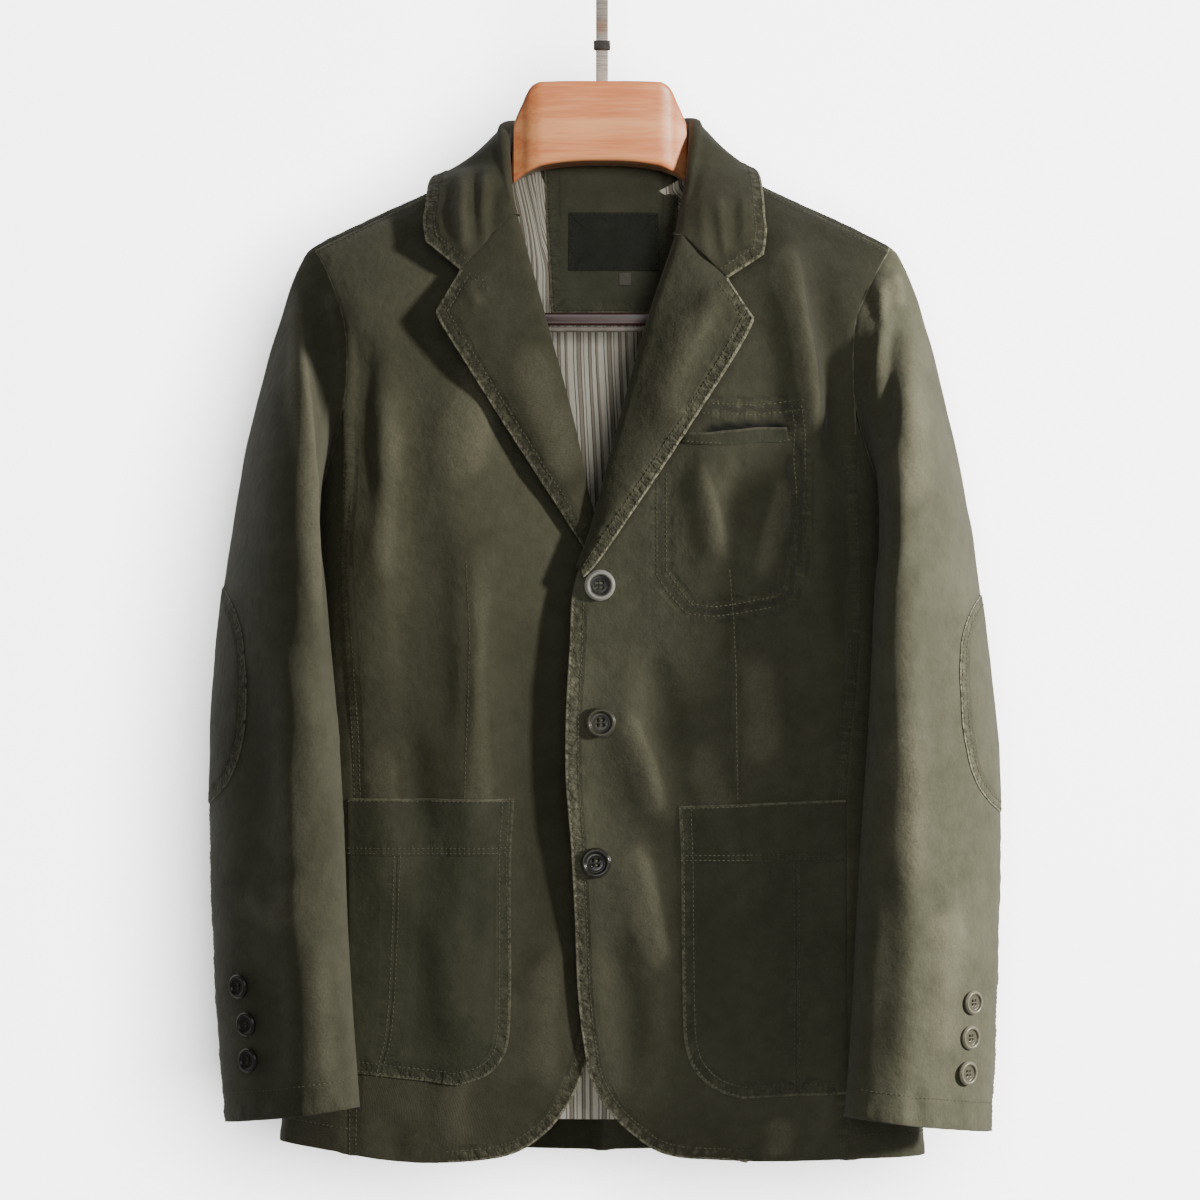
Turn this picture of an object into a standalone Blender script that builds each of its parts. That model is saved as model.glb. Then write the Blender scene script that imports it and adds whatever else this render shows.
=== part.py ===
"""A casual cotton blazer on a wooden hanger.

The origin is the hang point, the inside top of the hook. X runs along the shoulders with the
wearer's left at +X, the chest faces -Y, and Z is up. Sizes are in millimetres until a mesh is made.
"""
import math

import bmesh
import bpy
from mathutils import Vector

MM = 0.001

# Driving sizes, in millimetres
CLOTH = 1.6  # thickness of a coat panel, its hem and edges folded double
LIGHT_CLOTH = 1.2  # thickness of pockets, patches and small trim
LINING_CLOTH = 1.0
LINING_DEPTH = 4.1  # how deep the lining hangs under the back's outer surface
SEAM = 0.4  # space between two pieces at a seam
LAY = 0.9  # space under a piece that lies on another
MID_Y = 5.0  # the middle of the body, front to back
FULLNESS = 2.3  # how square the body's section is, 2 is an ellipse
DOME = 150.0  # the height in which chest and back round off into the shoulder
NECK_POINT = 72.0  # half the width of the neck, at the shoulder seam
RIDGE_START = 75.0  # where the straight shoulder slope is measured from
RIDGE_HEIGHT = -143.0  # height of the shoulder ridge there
RIDGE_SLOPE = 0.478  # how fast the shoulder falls outwards
BACK_NECK_WALK = 0.776  # how far behind the ridge the back neck seam is, as an angle
SEAM_WALK = -0.24  # the shoulder seam lies a little in front of the ridge
UNDERARM_DROP = 69.0  # how far the armhole reaches below the side seams' tops
UNDERARM_SHAPE = 2.6
ROLL = 4.4  # inner radius of a lapel's fold
ROLL_END = 1.0  # the same where the lapel closes
BUTTON_RADIUS = 11.5
CUFF_BUTTON_RADIUS = 9.0
HOOK_RADIUS = 20.0  # inner radius of the hook
HOOK_STEEL = 3.0
HOOK_WIDTH = 9.0
BAR_HEIGHT = -264.5  # middle height of the trouser bar
LUG_X = 148.0
HANGER_SHIFT = -1.5  # the coat hangs a little to one side on the wood

# Heights down the body: half width, depth of the front, depth of the back
BODY_ROWS = (
    (-900, 242, 50, 50),
    (-780, 233, 55, 53),
    (-650, 222, 61, 58),
    (-560, 216, 63, 61),
    (-480, 213, 68, 63),
    (-400, 213, 73, 64),
    (-300, 215, 73, 61),
    (-210, 222, 67, 57),
    (-100, 224, 60, 53),
)

# One row a step from the shoulder seam to the hem: inner edge x and z, outer edge x and z, and how
# far the inner edge is set back for the fold of the lapel. Sides of the wearer; x grows outwards.
FRONT_ROWS = {
    "right": (
        (72, -146.5, 213.5, -213.5, 0),
        (69, -158, 206, -226, 3),
        (65.5, -175, 198, -245, 5),
        (62, -193, 191.5, -264, 6),
        (53, -226, 188, -288, 6),
        (42.6, -264.5, 188.5, -312, 6),
        (33, -300, 190, -331, 6),
        (22, -342, 190, -365, 5.5),
        (10, -395, 191.5, -405, 5),
        (-2, -440, 193.6, -450, 3.5),
        (-12, -468, 192, -485, 1),
        (-16, -520, 188.5, -540, 0),
        (-14, -580, 185.5, -595, 0),
        (-11, -640, 184.5, -650, 0),
        (-6, -710, 185.5, -715, 0),
        (3, -775, 187, -775, 0),
        (14, -822, 188, -820, 0),
        (25, -846, 188.3, -845, 0),
        (40.5, -865.5, 188.4, -863, 0),
        (60.4, -879.6, 188.5, -874, 0),
        (77, -885, 188.5, -883, 0),
    ),
    "left": (
        (72, -146.5, 213.5, -213.5, 0),
        (67, -160, 204, -230, 3),
        (60.5, -185, 195, -248, 5),
        (53.7, -207.6, 188, -266, 6),
        (43.5, -238, 185, -290, 6),
        (32.3, -271.5, 185, -314, 6),
        (23, -305, 186, -334, 6),
        (13, -342, 187, -370, 5.5),
        (2, -382, 189, -412, 5),
        (-8, -420, 191.5, -450, 3.5),
        (-21.5, -464, 190.5, -488, 1),
        (-23.5, -505, 188, -530, 0),
        (-26.5, -560, 184, -575, 0),
        (-26.5, -605, 181.8, -615, 0),
        (-23, -650, 181.5, -660, 0),
        (-19.8, -710, 182, -715, 0),
        (-17.5, -765, 182.5, -770, 0),
        (-13.5, -800, 183, -805, 0),
        (-8, -827, 183, -832, 0),
        (4.7, -849.6, 183, -852, 0),
        (22.4, -867, 183, -868, 0),
        (44, -881, 183, -880, 0),
        (77, -886, 183, -887, 0),
    ),
}
UNDERARM_ROW = 6  # the row where armhole and side seam meet
HEM_SAG = {"right": 5.0, "left": 1.5}  # how far a front hem dips between its ends

# Back panels: inner edge z, outer edge x, z, and side of the ridge (-1 in front of it)
BACK_ROWS = (
    (-150, 213.5, -213.5, -1),
    (-162, 209.5, -215, 1),
    (-178, 203, -231, 1),
    (-200, 197.5, -252, 1),
    (-228, 194, -280, 1),
    (-262, 193.5, -306, 1),
    (-296, 194, -333, 1),
    (-345, 193, -375, 1),
    (-405, 190, -425, 1),
    (-475, 187, -485, 1),
    (-555, 184, -558, 1),
    (-640, 183, -640, 1),
    (-730, 186, -730, 1),
    (-815, 189, -815, 1),
    (-890, 190, -886, 1),
)
SIDE_HEM = {"right": -877.0, "left": -887.0}

# How far each front stands off the body at the middle: height, then recess under the lap and lift
# of the lapping edge
LAP_ROWS = (
    (-900, 1.5, 2.5),
    (-840, 2.5, 3.5),
    (-760, 5, 4.5),
    (-640, 9, 6),
    (-540, 13, 7),
    (-460, 15.5, 7),
    (-400, 13, 4),
    (-350, 8, 1),
    (-280, 2, 0),
    (-200, 0, 0),
)

# The largest folds of the fronts: points x, z down the fold, then width and height
FRONT_FOLDS = {
    "right": (
        ((-176, -270), (-172, -400), (-166, -560), 13, 3.5),
        ((-140, -330), (-146, -480), (-150, -600), 16, -3.5),
        ((-92, -520), (-98, -640), (-96, -800), 15, 3.5),
        ((-128, -640), (-130, -760), (-126, -860), 13, -2.5),
    ),
    "left": (
        ((139, -215), (156, -270), (165, -330), 12, 4.5),
        ((165, -330), (170, -430), (168, -540), 11, 3.0),
        ((72, -365), (82, -410), (90, -455), 9, 4.0),
        ((133, -368), (124, -420), (112, -470), 9, 4.0),
        ((101, -378), (102, -430), (100, -465), 8, -4.0),
        ((20, -575), (50, -625), (82, -690), 13, 3.5),
        ((8, -690), (38, -760), (40, -850), 14, 3.0),
        ((140, -520), (150, -660), (146, -840), 18, -3.0),
    ),
}
BACK_FOLDS = (
    ((-120, -260), (-105, -420), (-112, -600), 18, 4.0),
    ((110, -250), (120, -430), (108, -620), 18, 4.0),
    ((-60, -560), (-68, -720), (-60, -860), 20, 3.5),
    ((74, -540), (66, -700), (78, -860), 20, 3.5),
)

# Sleeve sections: height, outer x, inner x, middle y, depth, lean of the section in degrees
SLEEVE_ROWS = {
    "right": (
        (-870, 276, 174, -62, 44, 28),
        (-794, 283, 180, -60, 46, 28),
        (-714, 287, 185, -57, 49, 29),
        (-650, 289.5, 187.6, -53, 53, 30),
        (-572, 290, 192, -47, 60, 31),
        (-493, 285.5, 199.3, -38, 67, 32),
        (-441, 278.5, 204, -30, 72, 32),
        (-392, 271.5, 208, -20, 75, 31),
        (-330, 262, 212, -8, 75, 28),
    ),
    "left": (
        (-880, 285, 173, -62, 44, 28),
        (-804, 289.5, 180, -60, 46, 28),
        (-710, 293.5, 185, -57, 49, 29),
        (-640, 294.5, 189, -53, 53, 30),
        (-568, 292, 194, -47, 60, 31),
        (-489, 284, 198, -38, 67, 32),
        (-428, 276.5, 201.5, -30, 72, 32),
        (-380, 269, 206, -20, 75, 31),
        (-323, 258, 211, -8, 75, 28),
    ),
}
CUFF_HEIGHT = {"right": -850.0, "left": -857.0}
CUFF_TILT = 8.0  # the cuff's outer side is that much lower than its middle
FRONT_SLEEVE_SEAM = -155.0  # degrees round the sleeve, 0 is its outside and -90 its front
BACK_SLEEVE_SEAM = 46.0

# Sleeve folds: points x, z seen from the front (x outwards), then width and height
SLEEVE_FOLDS = {
    "right": (
        ((224, -240), (217, -300), (211, -362), 9, 4.5),
        ((211, -362), (206, -440), (203, -500), 9, 2.5),
        ((207, -250), (201, -300), (198, -350), 9, -4.5),
        ((222, -540), (222, -680), (220, -850), 13, 5.0),
        ((246, -600), (250, -700), (246, -800), 14, -3.0),
    ),
    "left": (
        ((207, -222), (210, -270), (201, -322), 8, 4.0),
        ((217, -262), (213, -310), (206, -380), 8, -4.5),
        ((230, -262), (222, -330), (214, -430), 10, 4.0),
        ((228, -560), (228, -700), (224, -850), 14, 3.5),
        ((252, -640), (250, -740), (240, -810), 13, -3.0),
    ),
}

# Lapels: row of the front table, outer edge x and z, lift of that edge above the front
LAPEL_ROWS = {
    "right": (
        (3, 120.9, -262.2, 15),
        (4.2, 118.0, -271, 15),
        (5.2, 105.5, -290.8, 13.5),
        (6.3, 85.7, -323, 12),
        (7.2, 63.5, -358, 10),
        (8.0, 41.6, -390.8, 8),
        (8.7, 23.4, -418.5, 6.5),
        (9.3, 7.3, -441.9, 5),
        (9.8, -4, -456, 4),
    ),
    "left": (
        (3, 110.6, -268, 16),
        (4.2, 107, -277.6, 15),
        (5.2, 92.3, -302.5, 12.5),
        (6.2, 74, -331, 10.5),
        (7.1, 54, -362, 9),
        (7.9, 33.6, -392.6, 8),
        (8.6, 14.6, -419.6, 6.5),
        (9.2, -1.5, -443, 5),
        (9.7, -13.9, -456.8, 4),
    ),
}
NOTCH = {"right": (104.0, -232.2), "left": (92.0, -238.8)}
COLLAR_POINT = {"right": (129.3, -210.3), "left": (118.3, -220.6)}
NOTCH_LIFT = 11.0
POINT_LIFT = 14.0
BELLY = 2.5  # how far a lapel's face bows out

# Collar, from the gorge to the middle of the back: fold x, y, z; outer edge x, z, side of the ridge
# and lift; then the direction the fold faces, x and y
COLLAR_ROWS = {
    "right": (
        (60, -48, -191, 129.3, -210.3, -1, 14, 0.0, -1.0),
        (66.5, -43, -178, 126.2, -190, -1, 12, 0.3, -0.95),
        (70.0, -33, -160, 124.5, -171, -1, 9, 0.65, -0.76),
        (73.3, -14, -129, 117, -164.5, 1, 6, 0.95, -0.3),
        (72.5, 12, -117.5, 101, -167, 1, 5, 0.9, 0.43),
        (61, 36, -114, 74, -168, 1, 5, 0.6, 0.8),
        (32, 46, -112.5, 40, -166, 1, 5, 0.3, 0.95),
        (0, 50, -112, 0, -164.5, 1, 5, 0.0, 1.0),
    ),
    "left": (
        (52, -48, -206, 118.3, -220.6, -1, 14, 0.0, -1.0),
        (58.0, -44, -190, 116.2, -196, -1, 12, 0.3, -0.95),
        (63.5, -35, -164, 114.2, -169.5, -1, 9, 0.65, -0.76),
        (68.8, -14, -125, 108, -159.5, 1, 6, 0.95, -0.3),
        (69.5, 12, -115, 97, -165, 1, 5, 0.9, 0.43),
        (60, 36, -113, 72, -167.5, 1, 5, 0.6, 0.8),
        (32, 46, -112.3, 40, -166, 1, 5, 0.3, 0.95),
        (0, 50, -112, 0, -164.5, 1, 5, 0.0, 1.0),
    ),
}
# Where the collar is sewn on behind the shoulder seam, as x along the back neck
BACK_NECK_X = (64.0, 48.0, 26.0, 0.0)

# Patch pockets: inner x, outer x and z of each row, top to bottom
POCKET_ROWS = {
    "right": (
        (63.5, 188, -620, -620.5),
        (66, 187.5, -662, -663),
        (66.5, 187, -720, -720),
        (67, 187, -770, -766),
        (69, 187, -800, -790),
        (75.5, 187, -815, -802),
        (87, 187, -825, -810),
        (106, 187, -831, -823),
    ),
    "left": (
        (56.5, 180.5, -625, -621.5),
        (58, 180.5, -667, -667),
        (58.5, 181, -720, -720),
        (59.5, 181.5, -770, -770),
        (61, 181.5, -800, -798),
        (68, 181.5, -820, -812),
        (84, 181.5, -835, -824),
        (104, 181.5, -841, -839),
    ),
}
BAND_ROW = 1  # the row of the seam under the pocket's band
SPLIT_SEAM = {"right": (150.5, 164.5), "left": (143.5, 144.5)}  # its x at the band and at the hem

# Front buttons x, z; cuff buttons x, z
FRONT_BUTTONS = ((-2.2, -463.0), (-1.5, -563.7), (-5.1, -666.6))
CUFF_BUTTONS = {
    "right": ((263.9, -755.5), (258.0, -782.7), (256.5, -809.0)),
    "left": ((269.5, -767.3), (267.3, -792.7), (265.3, -818.5)),
}

# Welt of the chest pocket: x, top z, bottom z, how far its top edge stands off
WELT_ROWS = (
    (58.5, -351.6, -359.6, 2.0),
    (85, -352.0, -360.8, 3.2),
    (112, -350.8, -360.0, 3.4),
    (138, -348.2, -357.6, 2.2),
)

# Hanger: x, top z, bottom z, front y, back y
HANGER_ROWS = (
    (0, -89, -149, -24, 19),
    (30, -89, -150.5, -24, 19),
    (45, -89.5, -153, -23, 18),
    (50, -92, -155, -21.5, 14),
    (58, -106, -159, -17, 7),
    (64, -120, -163.5, -14, 1),
    (65.6, -150, -164, -12, 2),
    (74, -151, -168, -10, 10),
    (100, -160.5, -182, -9, 13),
    (140, -179.5, -202, -8, 13),
    (180, -198.5, -219, -6, 12),
    (200, -209.5, -221, -3, 10),
    (205, -213, -220, 0, 8),
)

# Width of the facing behind the neck: z, half width
FACING_ROWS = ((-158, 45.4), (-210, 41.5), (-256, 38.5))
LABEL_BOX = (-26.0, 44.0, -179.0, -223.0)  # left, right, top, bottom
TAB_BOX = (13.5, 22.5, -225.0, -234.5)


# Curves and surfaces ---------------------------------------------------------------------------

def table_value(rows, at, column):
    """Smooth value of a column at a key, the first column; straight on past the ends."""
    keys = [row[0] for row in rows]
    values = [row[column] for row in rows]
    return curve_value(keys, values, at)


def row_value(rows, at, column):
    """Smooth value of a column at a row number, which need not be whole."""
    return curve_value(range(len(rows)), [row[column] for row in rows], at)


def curve_value(keys, values, at):
    count = len(keys)
    span = 0
    while span < count - 2 and at > keys[span + 1]:
        span += 1
    step = keys[span + 1] - keys[span]
    along = (at - keys[span]) / step

    def slope(index):
        low = max(index - 1, 0)
        high = min(index + 1, count - 1)
        return (values[high] - values[low]) / (keys[high] - keys[low])

    start = values[span]
    end = values[span + 1]
    if along < 0.0:
        return start + slope(span) * (at - keys[span])
    if along > 1.0:
        return end + slope(span + 1) * (at - keys[span + 1])
    first = slope(span) * step
    last = slope(span + 1) * step
    square = along * along
    cube = square * along
    return (
        start * (2 * cube - 3 * square + 1)
        + first * (cube - 2 * square + along)
        + end * (3 * square - 2 * cube)
        + last * (cube - square)
    )


def mix(a, b, share):
    return a + (b - a) * share


def ease(share):
    share = min(max(share, 0.0), 1.0)
    return share * share * (3.0 - 2.0 * share)


def spread(start, end, count):
    """Evenly spaced numbers from start to end."""
    return [mix(start, end, index / (count - 1)) for index in range(count)]


def ridge_height(x):
    return RIDGE_HEIGHT - RIDGE_SLOPE * (abs(x) - RIDGE_START)


def plateau(x, half_width):
    share = min(abs(x) / half_width, 0.9999)
    return (1.0 - share ** FULLNESS) ** (1.0 / FULLNESS)


def body_point(x, z, side):
    """The body's smooth surface; side is -1 in front of the shoulder ridge and 1 behind it."""
    half_width = table_value(BODY_ROWS, z, 1)
    depth = table_value(BODY_ROWS, z, 2 if side < 0 else 3)
    drop = min(max(ridge_height(x) - z, 0.0), DOME)
    dome = math.sqrt(1.0 - (1.0 - drop / DOME) ** 2)
    return Vector((x, MID_Y + side * depth * plateau(x, half_width) * dome, z))


def walk_height(x, walk):
    """Height reached by walking over the ridge: an angle to a right angle, then straight down."""
    bend = min(abs(walk), math.pi / 2)
    return ridge_height(x) - DOME * (1.0 - math.cos(bend)) - DOME * (abs(walk) - bend)


def walk_of(x, z, side):
    drop = max(ridge_height(x) - z, 0.0)
    if drop < DOME:
        return side * math.acos(1.0 - drop / DOME)
    return side * (math.pi / 2 + (drop - DOME) / DOME)


def fold_height(folds, x, z):
    """Sum of soft ridges and troughs along short lines."""
    total = 0.0
    for fold in folds:
        points = fold[:-2]
        width, height = fold[-2:]
        nearest = min(line_distance(x, z, a, b) for a, b in zip(points, points[1:]))
        total += height * math.exp(-0.5 * (nearest / width) ** 2)
    return total


def line_distance(x, z, a, b):
    along_x = b[0] - a[0]
    along_z = b[1] - a[1]
    share = ((x - a[0]) * along_x + (z - a[1]) * along_z) / (along_x ** 2 + along_z ** 2)
    share = min(max(share, 0.0), 1.0)
    return math.hypot(x - a[0] - share * along_x, z - a[1] - share * along_z)


def front_point(side, x, z):
    """A front panel's outer surface, at a true x."""
    point = body_point(x, z, -1)
    if side == "right":
        near_middle = ease((x + 125.0) / 120.0)
        point.y += table_value(LAP_ROWS, z, 1) * near_middle
    else:
        near_middle = ease(1.0 - (x + 26.0) / 60.0)
        point.y -= table_value(LAP_ROWS, z, 2) * near_middle
    point.y -= fold_height(FRONT_FOLDS[side], x, z)
    return point


def back_point(x, walk):
    side = -1 if walk < 0.0 else 1
    point = body_point(x, walk_height(x, walk), side)
    if walk > 0.5:
        point.y += fold_height(BACK_FOLDS, x, point.z) * ease((walk - 0.5) / 0.5)
    return point


def front_seam_x(side, z):
    """How far out the front's side seam lies."""
    rows = [(row[3], row[2]) for row in reversed(FRONT_ROWS[side][UNDERARM_ROW:])]
    return table_value(rows, z, 1)


def back_seam_x(z):
    rows = [(row[2], row[1]) for row in reversed(BACK_ROWS[UNDERARM_ROW:])]
    return table_value(rows, z, 1)


def front_outer(side, row):
    """The front panel's outer edge, x and z: the armhole, then the side seam."""
    rows = FRONT_ROWS[side]
    z = row_value(rows, row, 3)
    x = front_seam_x(side, z) if row > UNDERARM_ROW else row_value(rows, row, 2)
    return sign_of(side) * x, z


def sign_of(side):
    return -1.0 if side == "right" else 1.0


def inner_edge(side, row):
    """The front panel's inner edge, x and z, at a row of its table."""
    rows = FRONT_ROWS[side]
    x = row_value(rows, row, 0) + row_value(rows, row, 4)
    return sign_of(side) * x, row_value(rows, row, 1)


# Sheets of cloth -------------------------------------------------------------------------------

def new_collection(name):
    collection = bpy.data.collections.new(name)
    bpy.context.scene.collection.children.link(collection)
    return collection


def linear(channel):
    channel = channel / 255.0
    return channel / 12.92 if channel <= 0.04045 else ((channel + 0.055) / 1.055) ** 2.4


def finish_object(name, mesh, colour, roughness, metallic=0.0):
    """Makes the object for a mesh and gives it a material of its own."""
    material = bpy.data.materials.new(name + "_material")
    material.use_nodes = True
    shader = material.node_tree.nodes["Principled BSDF"]
    shader.inputs["Base Color"].default_value = (*[linear(value) for value in colour], 1.0)
    shader.inputs["Roughness"].default_value = roughness
    shader.inputs["Metallic"].default_value = metallic
    mesh.materials.clear()
    mesh.materials.append(material)
    mesh.shade_smooth()
    piece = bpy.data.objects.new(name, mesh)
    PARTS.objects.link(piece)
    return piece


def pull_back(rows, distance):
    """Moves the edge points of a grid inwards, along the surface."""
    copy = [[point.copy() for point in row] for row in rows]
    last_row = len(rows) - 1
    last_column = len(rows[0]) - 1
    for i, row in enumerate(rows):
        for j, point in enumerate(row):
            shift = Vector((0.0, 0.0, 0.0))
            if i in (0, last_row):
                shift += (rows[1 if i == 0 else last_row - 1][j] - point).normalized()
            if j in (0, last_column):
                shift += (row[1 if j == 0 else last_column - 1] - point).normalized()
            copy[i][j] = point + shift * distance
    return copy


def tangent(before, point, after):
    """Direction of a smooth curve through three points, at the middle one."""
    back = point - before
    ahead = after - point
    return back * (ahead.length / back.length) + ahead * (back.length / ahead.length)


def edge_tangent(point, second, third):
    """Direction of that curve at its first point."""
    first = second - point
    middle = tangent(point, second, third) / (first.length + (third - second).length)
    return first * 2.0 / first.length - middle


def line_tangent(points, index):
    if index == 0:
        return edge_tangent(*points[:3])
    if index == len(points) - 1:
        return -edge_tangent(*points[:-4:-1])
    return tangent(*points[index - 1:index + 2])


def grid_normals(rows, facing):
    """Normals of a grid of points, the same on both sides of a seam."""
    columns = list(zip(*rows))
    normals = [
        [line_tangent(row, j).cross(line_tangent(columns[j], i)).normalized()
         for j in range(len(row))]
        for i, row in enumerate(rows)
    ]
    middle = normals[len(rows) // 2][len(rows[0]) // 2]
    if middle.dot(Vector(facing)) < 0.0:
        normals = [[-normal for normal in line] for line in normals]
    return normals


def surface_sheet(name, point_at, places, steps, facing, thickness, colour, gap=SEAM / 2):
    """A wall of cloth on a surface that is a function of two numbers."""
    def normal_at(u, v):
        across = point_at(u + steps[0], v) - point_at(u - steps[0], v)
        down = point_at(u, v + steps[1]) - point_at(u, v - steps[1])
        return across.cross(down).normalized()

    rows = [[point_at(u, v) for u, v in line] for line in places]
    normals = [[normal_at(u, v) for u, v in line] for line in places]
    middle = normals[len(places) // 2][len(places[0]) // 2]
    if middle.dot(Vector(facing)) < 0.0:
        normals = [[-normal for normal in line] for line in normals]
    sheet(name, rows, facing, thickness, colour, gap=gap, ends=dict(enumerate(normals)))


def sheet(name, rows, facing, thickness, colour, gap=SEAM / 2, ends=None):
    """A wall of cloth. The grid is the side that looks towards facing at its middle.

    Ends holds the normals that are known already, by row number.

    The wall is built from its own normals and not with Solidify, whose edges would cross at a seam.
    """
    normals = grid_normals(rows, facing)
    for row, row_normals in (ends or {}).items():
        normals[row] = row_normals
    if gap:
        rows = pull_back(rows, gap)
    height = len(rows)
    width = len(rows[0])
    verts = [point * MM for row in rows for point in row]
    verts += [(point - normal * thickness) * MM
              for row, line in zip(rows, normals) for point, normal in zip(row, line)]
    faces = []
    other = height * width
    for i in range(height - 1):
        for j in range(width - 1):
            corner = i * width + j
            diagonal = corner + width + 1
            for face in ((corner, corner + 1, diagonal), (corner, diagonal, corner + width)):
                faces.append(face)
                faces.append(tuple(other + vert for vert in reversed(face)))
    rim = [j for j in range(width)]
    rim += [i * width + width - 1 for i in range(1, height)]
    rim += [(height - 1) * width + j for j in reversed(range(width - 1))]
    rim += [i * width for i in reversed(range(1, height - 1))]
    for vert, following in zip(rim, rim[1:] + rim[:1]):
        faces.append((following, vert, other + vert, other + following))
    first = verts[faces[0][1]] - verts[faces[0][0]]
    second = verts[faces[0][2]] - verts[faces[0][0]]
    if first.cross(second).dot(normals[0][0]) < 0.0:
        faces = [tuple(reversed(face)) for face in faces]
    mesh = bpy.data.meshes.new(name)
    mesh.from_pydata(verts, [], faces)
    return finish_object(name, mesh, colour, CLOTH_ROUGHNESS)


OLIVE = (70, 68, 52)
OLIVE_DARK = (58, 56, 43)
LINING = (190, 186, 174)
CLOTH_ROUGHNESS = 0.85


# Body ------------------------------------------------------------------------------------------

def panel_rows(side):
    """Rows of the front's table, with more of them where the shoulder curves."""
    return [0.0, 0.5, 1.0, 1.5] + [float(row) for row in range(2, len(FRONT_ROWS[side]))]


def seam_shares(side):
    """How far down the side seam each row of the front lies."""
    rows = FRONT_ROWS[side][UNDERARM_ROW:]
    top = rows[0][3]
    return [(row[3] - top) / (rows[-1][3] - top) for row in rows]


def make_front(side):
    last = len(FRONT_ROWS[side]) - 1
    places = []
    for row in panel_rows(side):
        inner_x, inner_z = inner_edge(side, row)
        outer_x, outer_z = front_outer(side, row)
        line = []
        for share in spread(0.0, 1.0, 15):
            x = mix(inner_x, outer_x, share)
            z = mix(inner_z, outer_z, share)
            z -= HEM_SAG[side] * 4.0 * share * (1.0 - share) * ease((row - last + 3.0) / 3.0)
            line.append((x, z))
        places.append(line)
    surface_sheet("front_" + side, lambda x, z: front_point(side, x, z), places, (0.5, 0.5),
                  (0, -1, 0), CLOTH, OLIVE)


def neck_walk(x):
    share = min(abs(x) / NECK_POINT, 1.0)
    return mix(BACK_NECK_WALK, SEAM_WALK, share ** 4)


def back_outer(row):
    """The back's edge above the side seam, x and walk."""
    x = row_value(BACK_ROWS, row, 1)
    if row <= 1.0:
        return x, mix(SEAM_WALK, walk_of(BACK_ROWS[1][1], BACK_ROWS[1][2], 1), row)
    return x, walk_of(x, row_value(BACK_ROWS, row, 2), 1)


BACK_SHARES = (0.0, 0.04, 0.11, 0.19, 0.27, 0.34, 0.43, 0.54, 0.66, 0.78, 0.89, 1.0)


def back_line(side, row, inner_z, outer_x, outer_walk):
    """One row of a back panel, from the middle seam out; the top rows follow the neck."""
    inner_walk = walk_of(0.0, inner_z, 1)
    outer_top = BACK_ROWS[0][1]
    line = []
    for share in BACK_SHARES:
        walk = mix(inner_walk, outer_walk, share)
        straight = mix(BACK_NECK_WALK, SEAM_WALK, share)
        walk += (neck_walk(outer_top * share) - straight) * max(1.0 - row / 9.0, 0.0) ** 2
        line.append((sign_of(side) * outer_x * share, walk))
    return line


def make_back(side):
    places = []
    for row in (0.0, 0.5, 1.0, 1.5, 2.0, 3.0, 4.0, 5.0, 6.0):
        places.append(back_line(side, row, row_value(BACK_ROWS, row, 0), *back_outer(row)))
    top = BACK_ROWS[UNDERARM_ROW]
    hem = BACK_ROWS[-1]
    for share in seam_shares(side)[1:]:
        outer_z = mix(top[2], hem[2], share)
        outer_x = back_seam_x(outer_z)
        row = UNDERARM_ROW + 8.0 * share
        inner_z = mix(top[0], hem[0], share)
        places.append(back_line(side, row, inner_z, outer_x, walk_of(outer_x, outer_z, 1)))
    surface_sheet("back_" + side, back_point, places, (0.5, 0.004), (0, 1, 0), CLOTH, OLIVE_DARK)


def section_angle(x, z):
    """Angle of a point round the body, 0 at the side."""
    share = min(abs(x) / table_value(BODY_ROWS, z, 1), 1.0)
    return math.acos(share ** (FULLNESS / 2))


def side_point(side, share, z):
    """The side panel's surface, from the front seam (share 0) to the back seam (share 1)."""
    front = section_angle(front_seam_x(side, z), z)
    back = section_angle(back_seam_x(z), z)
    angle = mix(-front, back, share)
    half_width = table_value(BODY_ROWS, z, 1)
    depth = table_value(BODY_ROWS, z, 2 if angle < 0.0 else 3)
    x = half_width * math.cos(angle) ** (2.0 / FULLNESS)
    y = depth * abs(math.sin(angle)) ** (2.0 / FULLNESS) * (1.0 if angle > 0.0 else -1.0)
    drop = min(max(ridge_height(x) - z, 0.0), DOME)
    y *= math.sqrt(1.0 - (1.0 - drop / DOME) ** 2)
    return Vector((sign_of(side) * x, MID_Y + y, z))


def underarm_height(side, share):
    start = FRONT_ROWS[side][UNDERARM_ROW][3]
    end = BACK_ROWS[UNDERARM_ROW][2]
    dip = UNDERARM_DROP * (1.0 - abs(1.0 - 2.0 * share) ** UNDERARM_SHAPE)
    return mix(start, end, share) - dip


def make_side(side):
    front_hem = FRONT_ROWS[side][-1][3]
    back_hem = BACK_ROWS[-1][2]
    shares = spread(0.0, 1.0, 9)
    places = []
    for along in seam_shares(side):
        line = []
        for share in shares:
            hem = mix(front_hem, back_hem, share)
            hem += (SIDE_HEM[side] - 0.5 * (front_hem + back_hem)) * 4.0 * share * (1.0 - share)
            line.append((share, mix(underarm_height(side, share), hem, along)))
        places.append(line)
    surface_sheet("side_" + side, lambda share, z: side_point(side, share, z), places, (0.005, 0.5),
                  (sign_of(side), 0, 0), CLOTH, OLIVE_DARK)


# Sleeves ---------------------------------------------------------------------------------------

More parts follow.
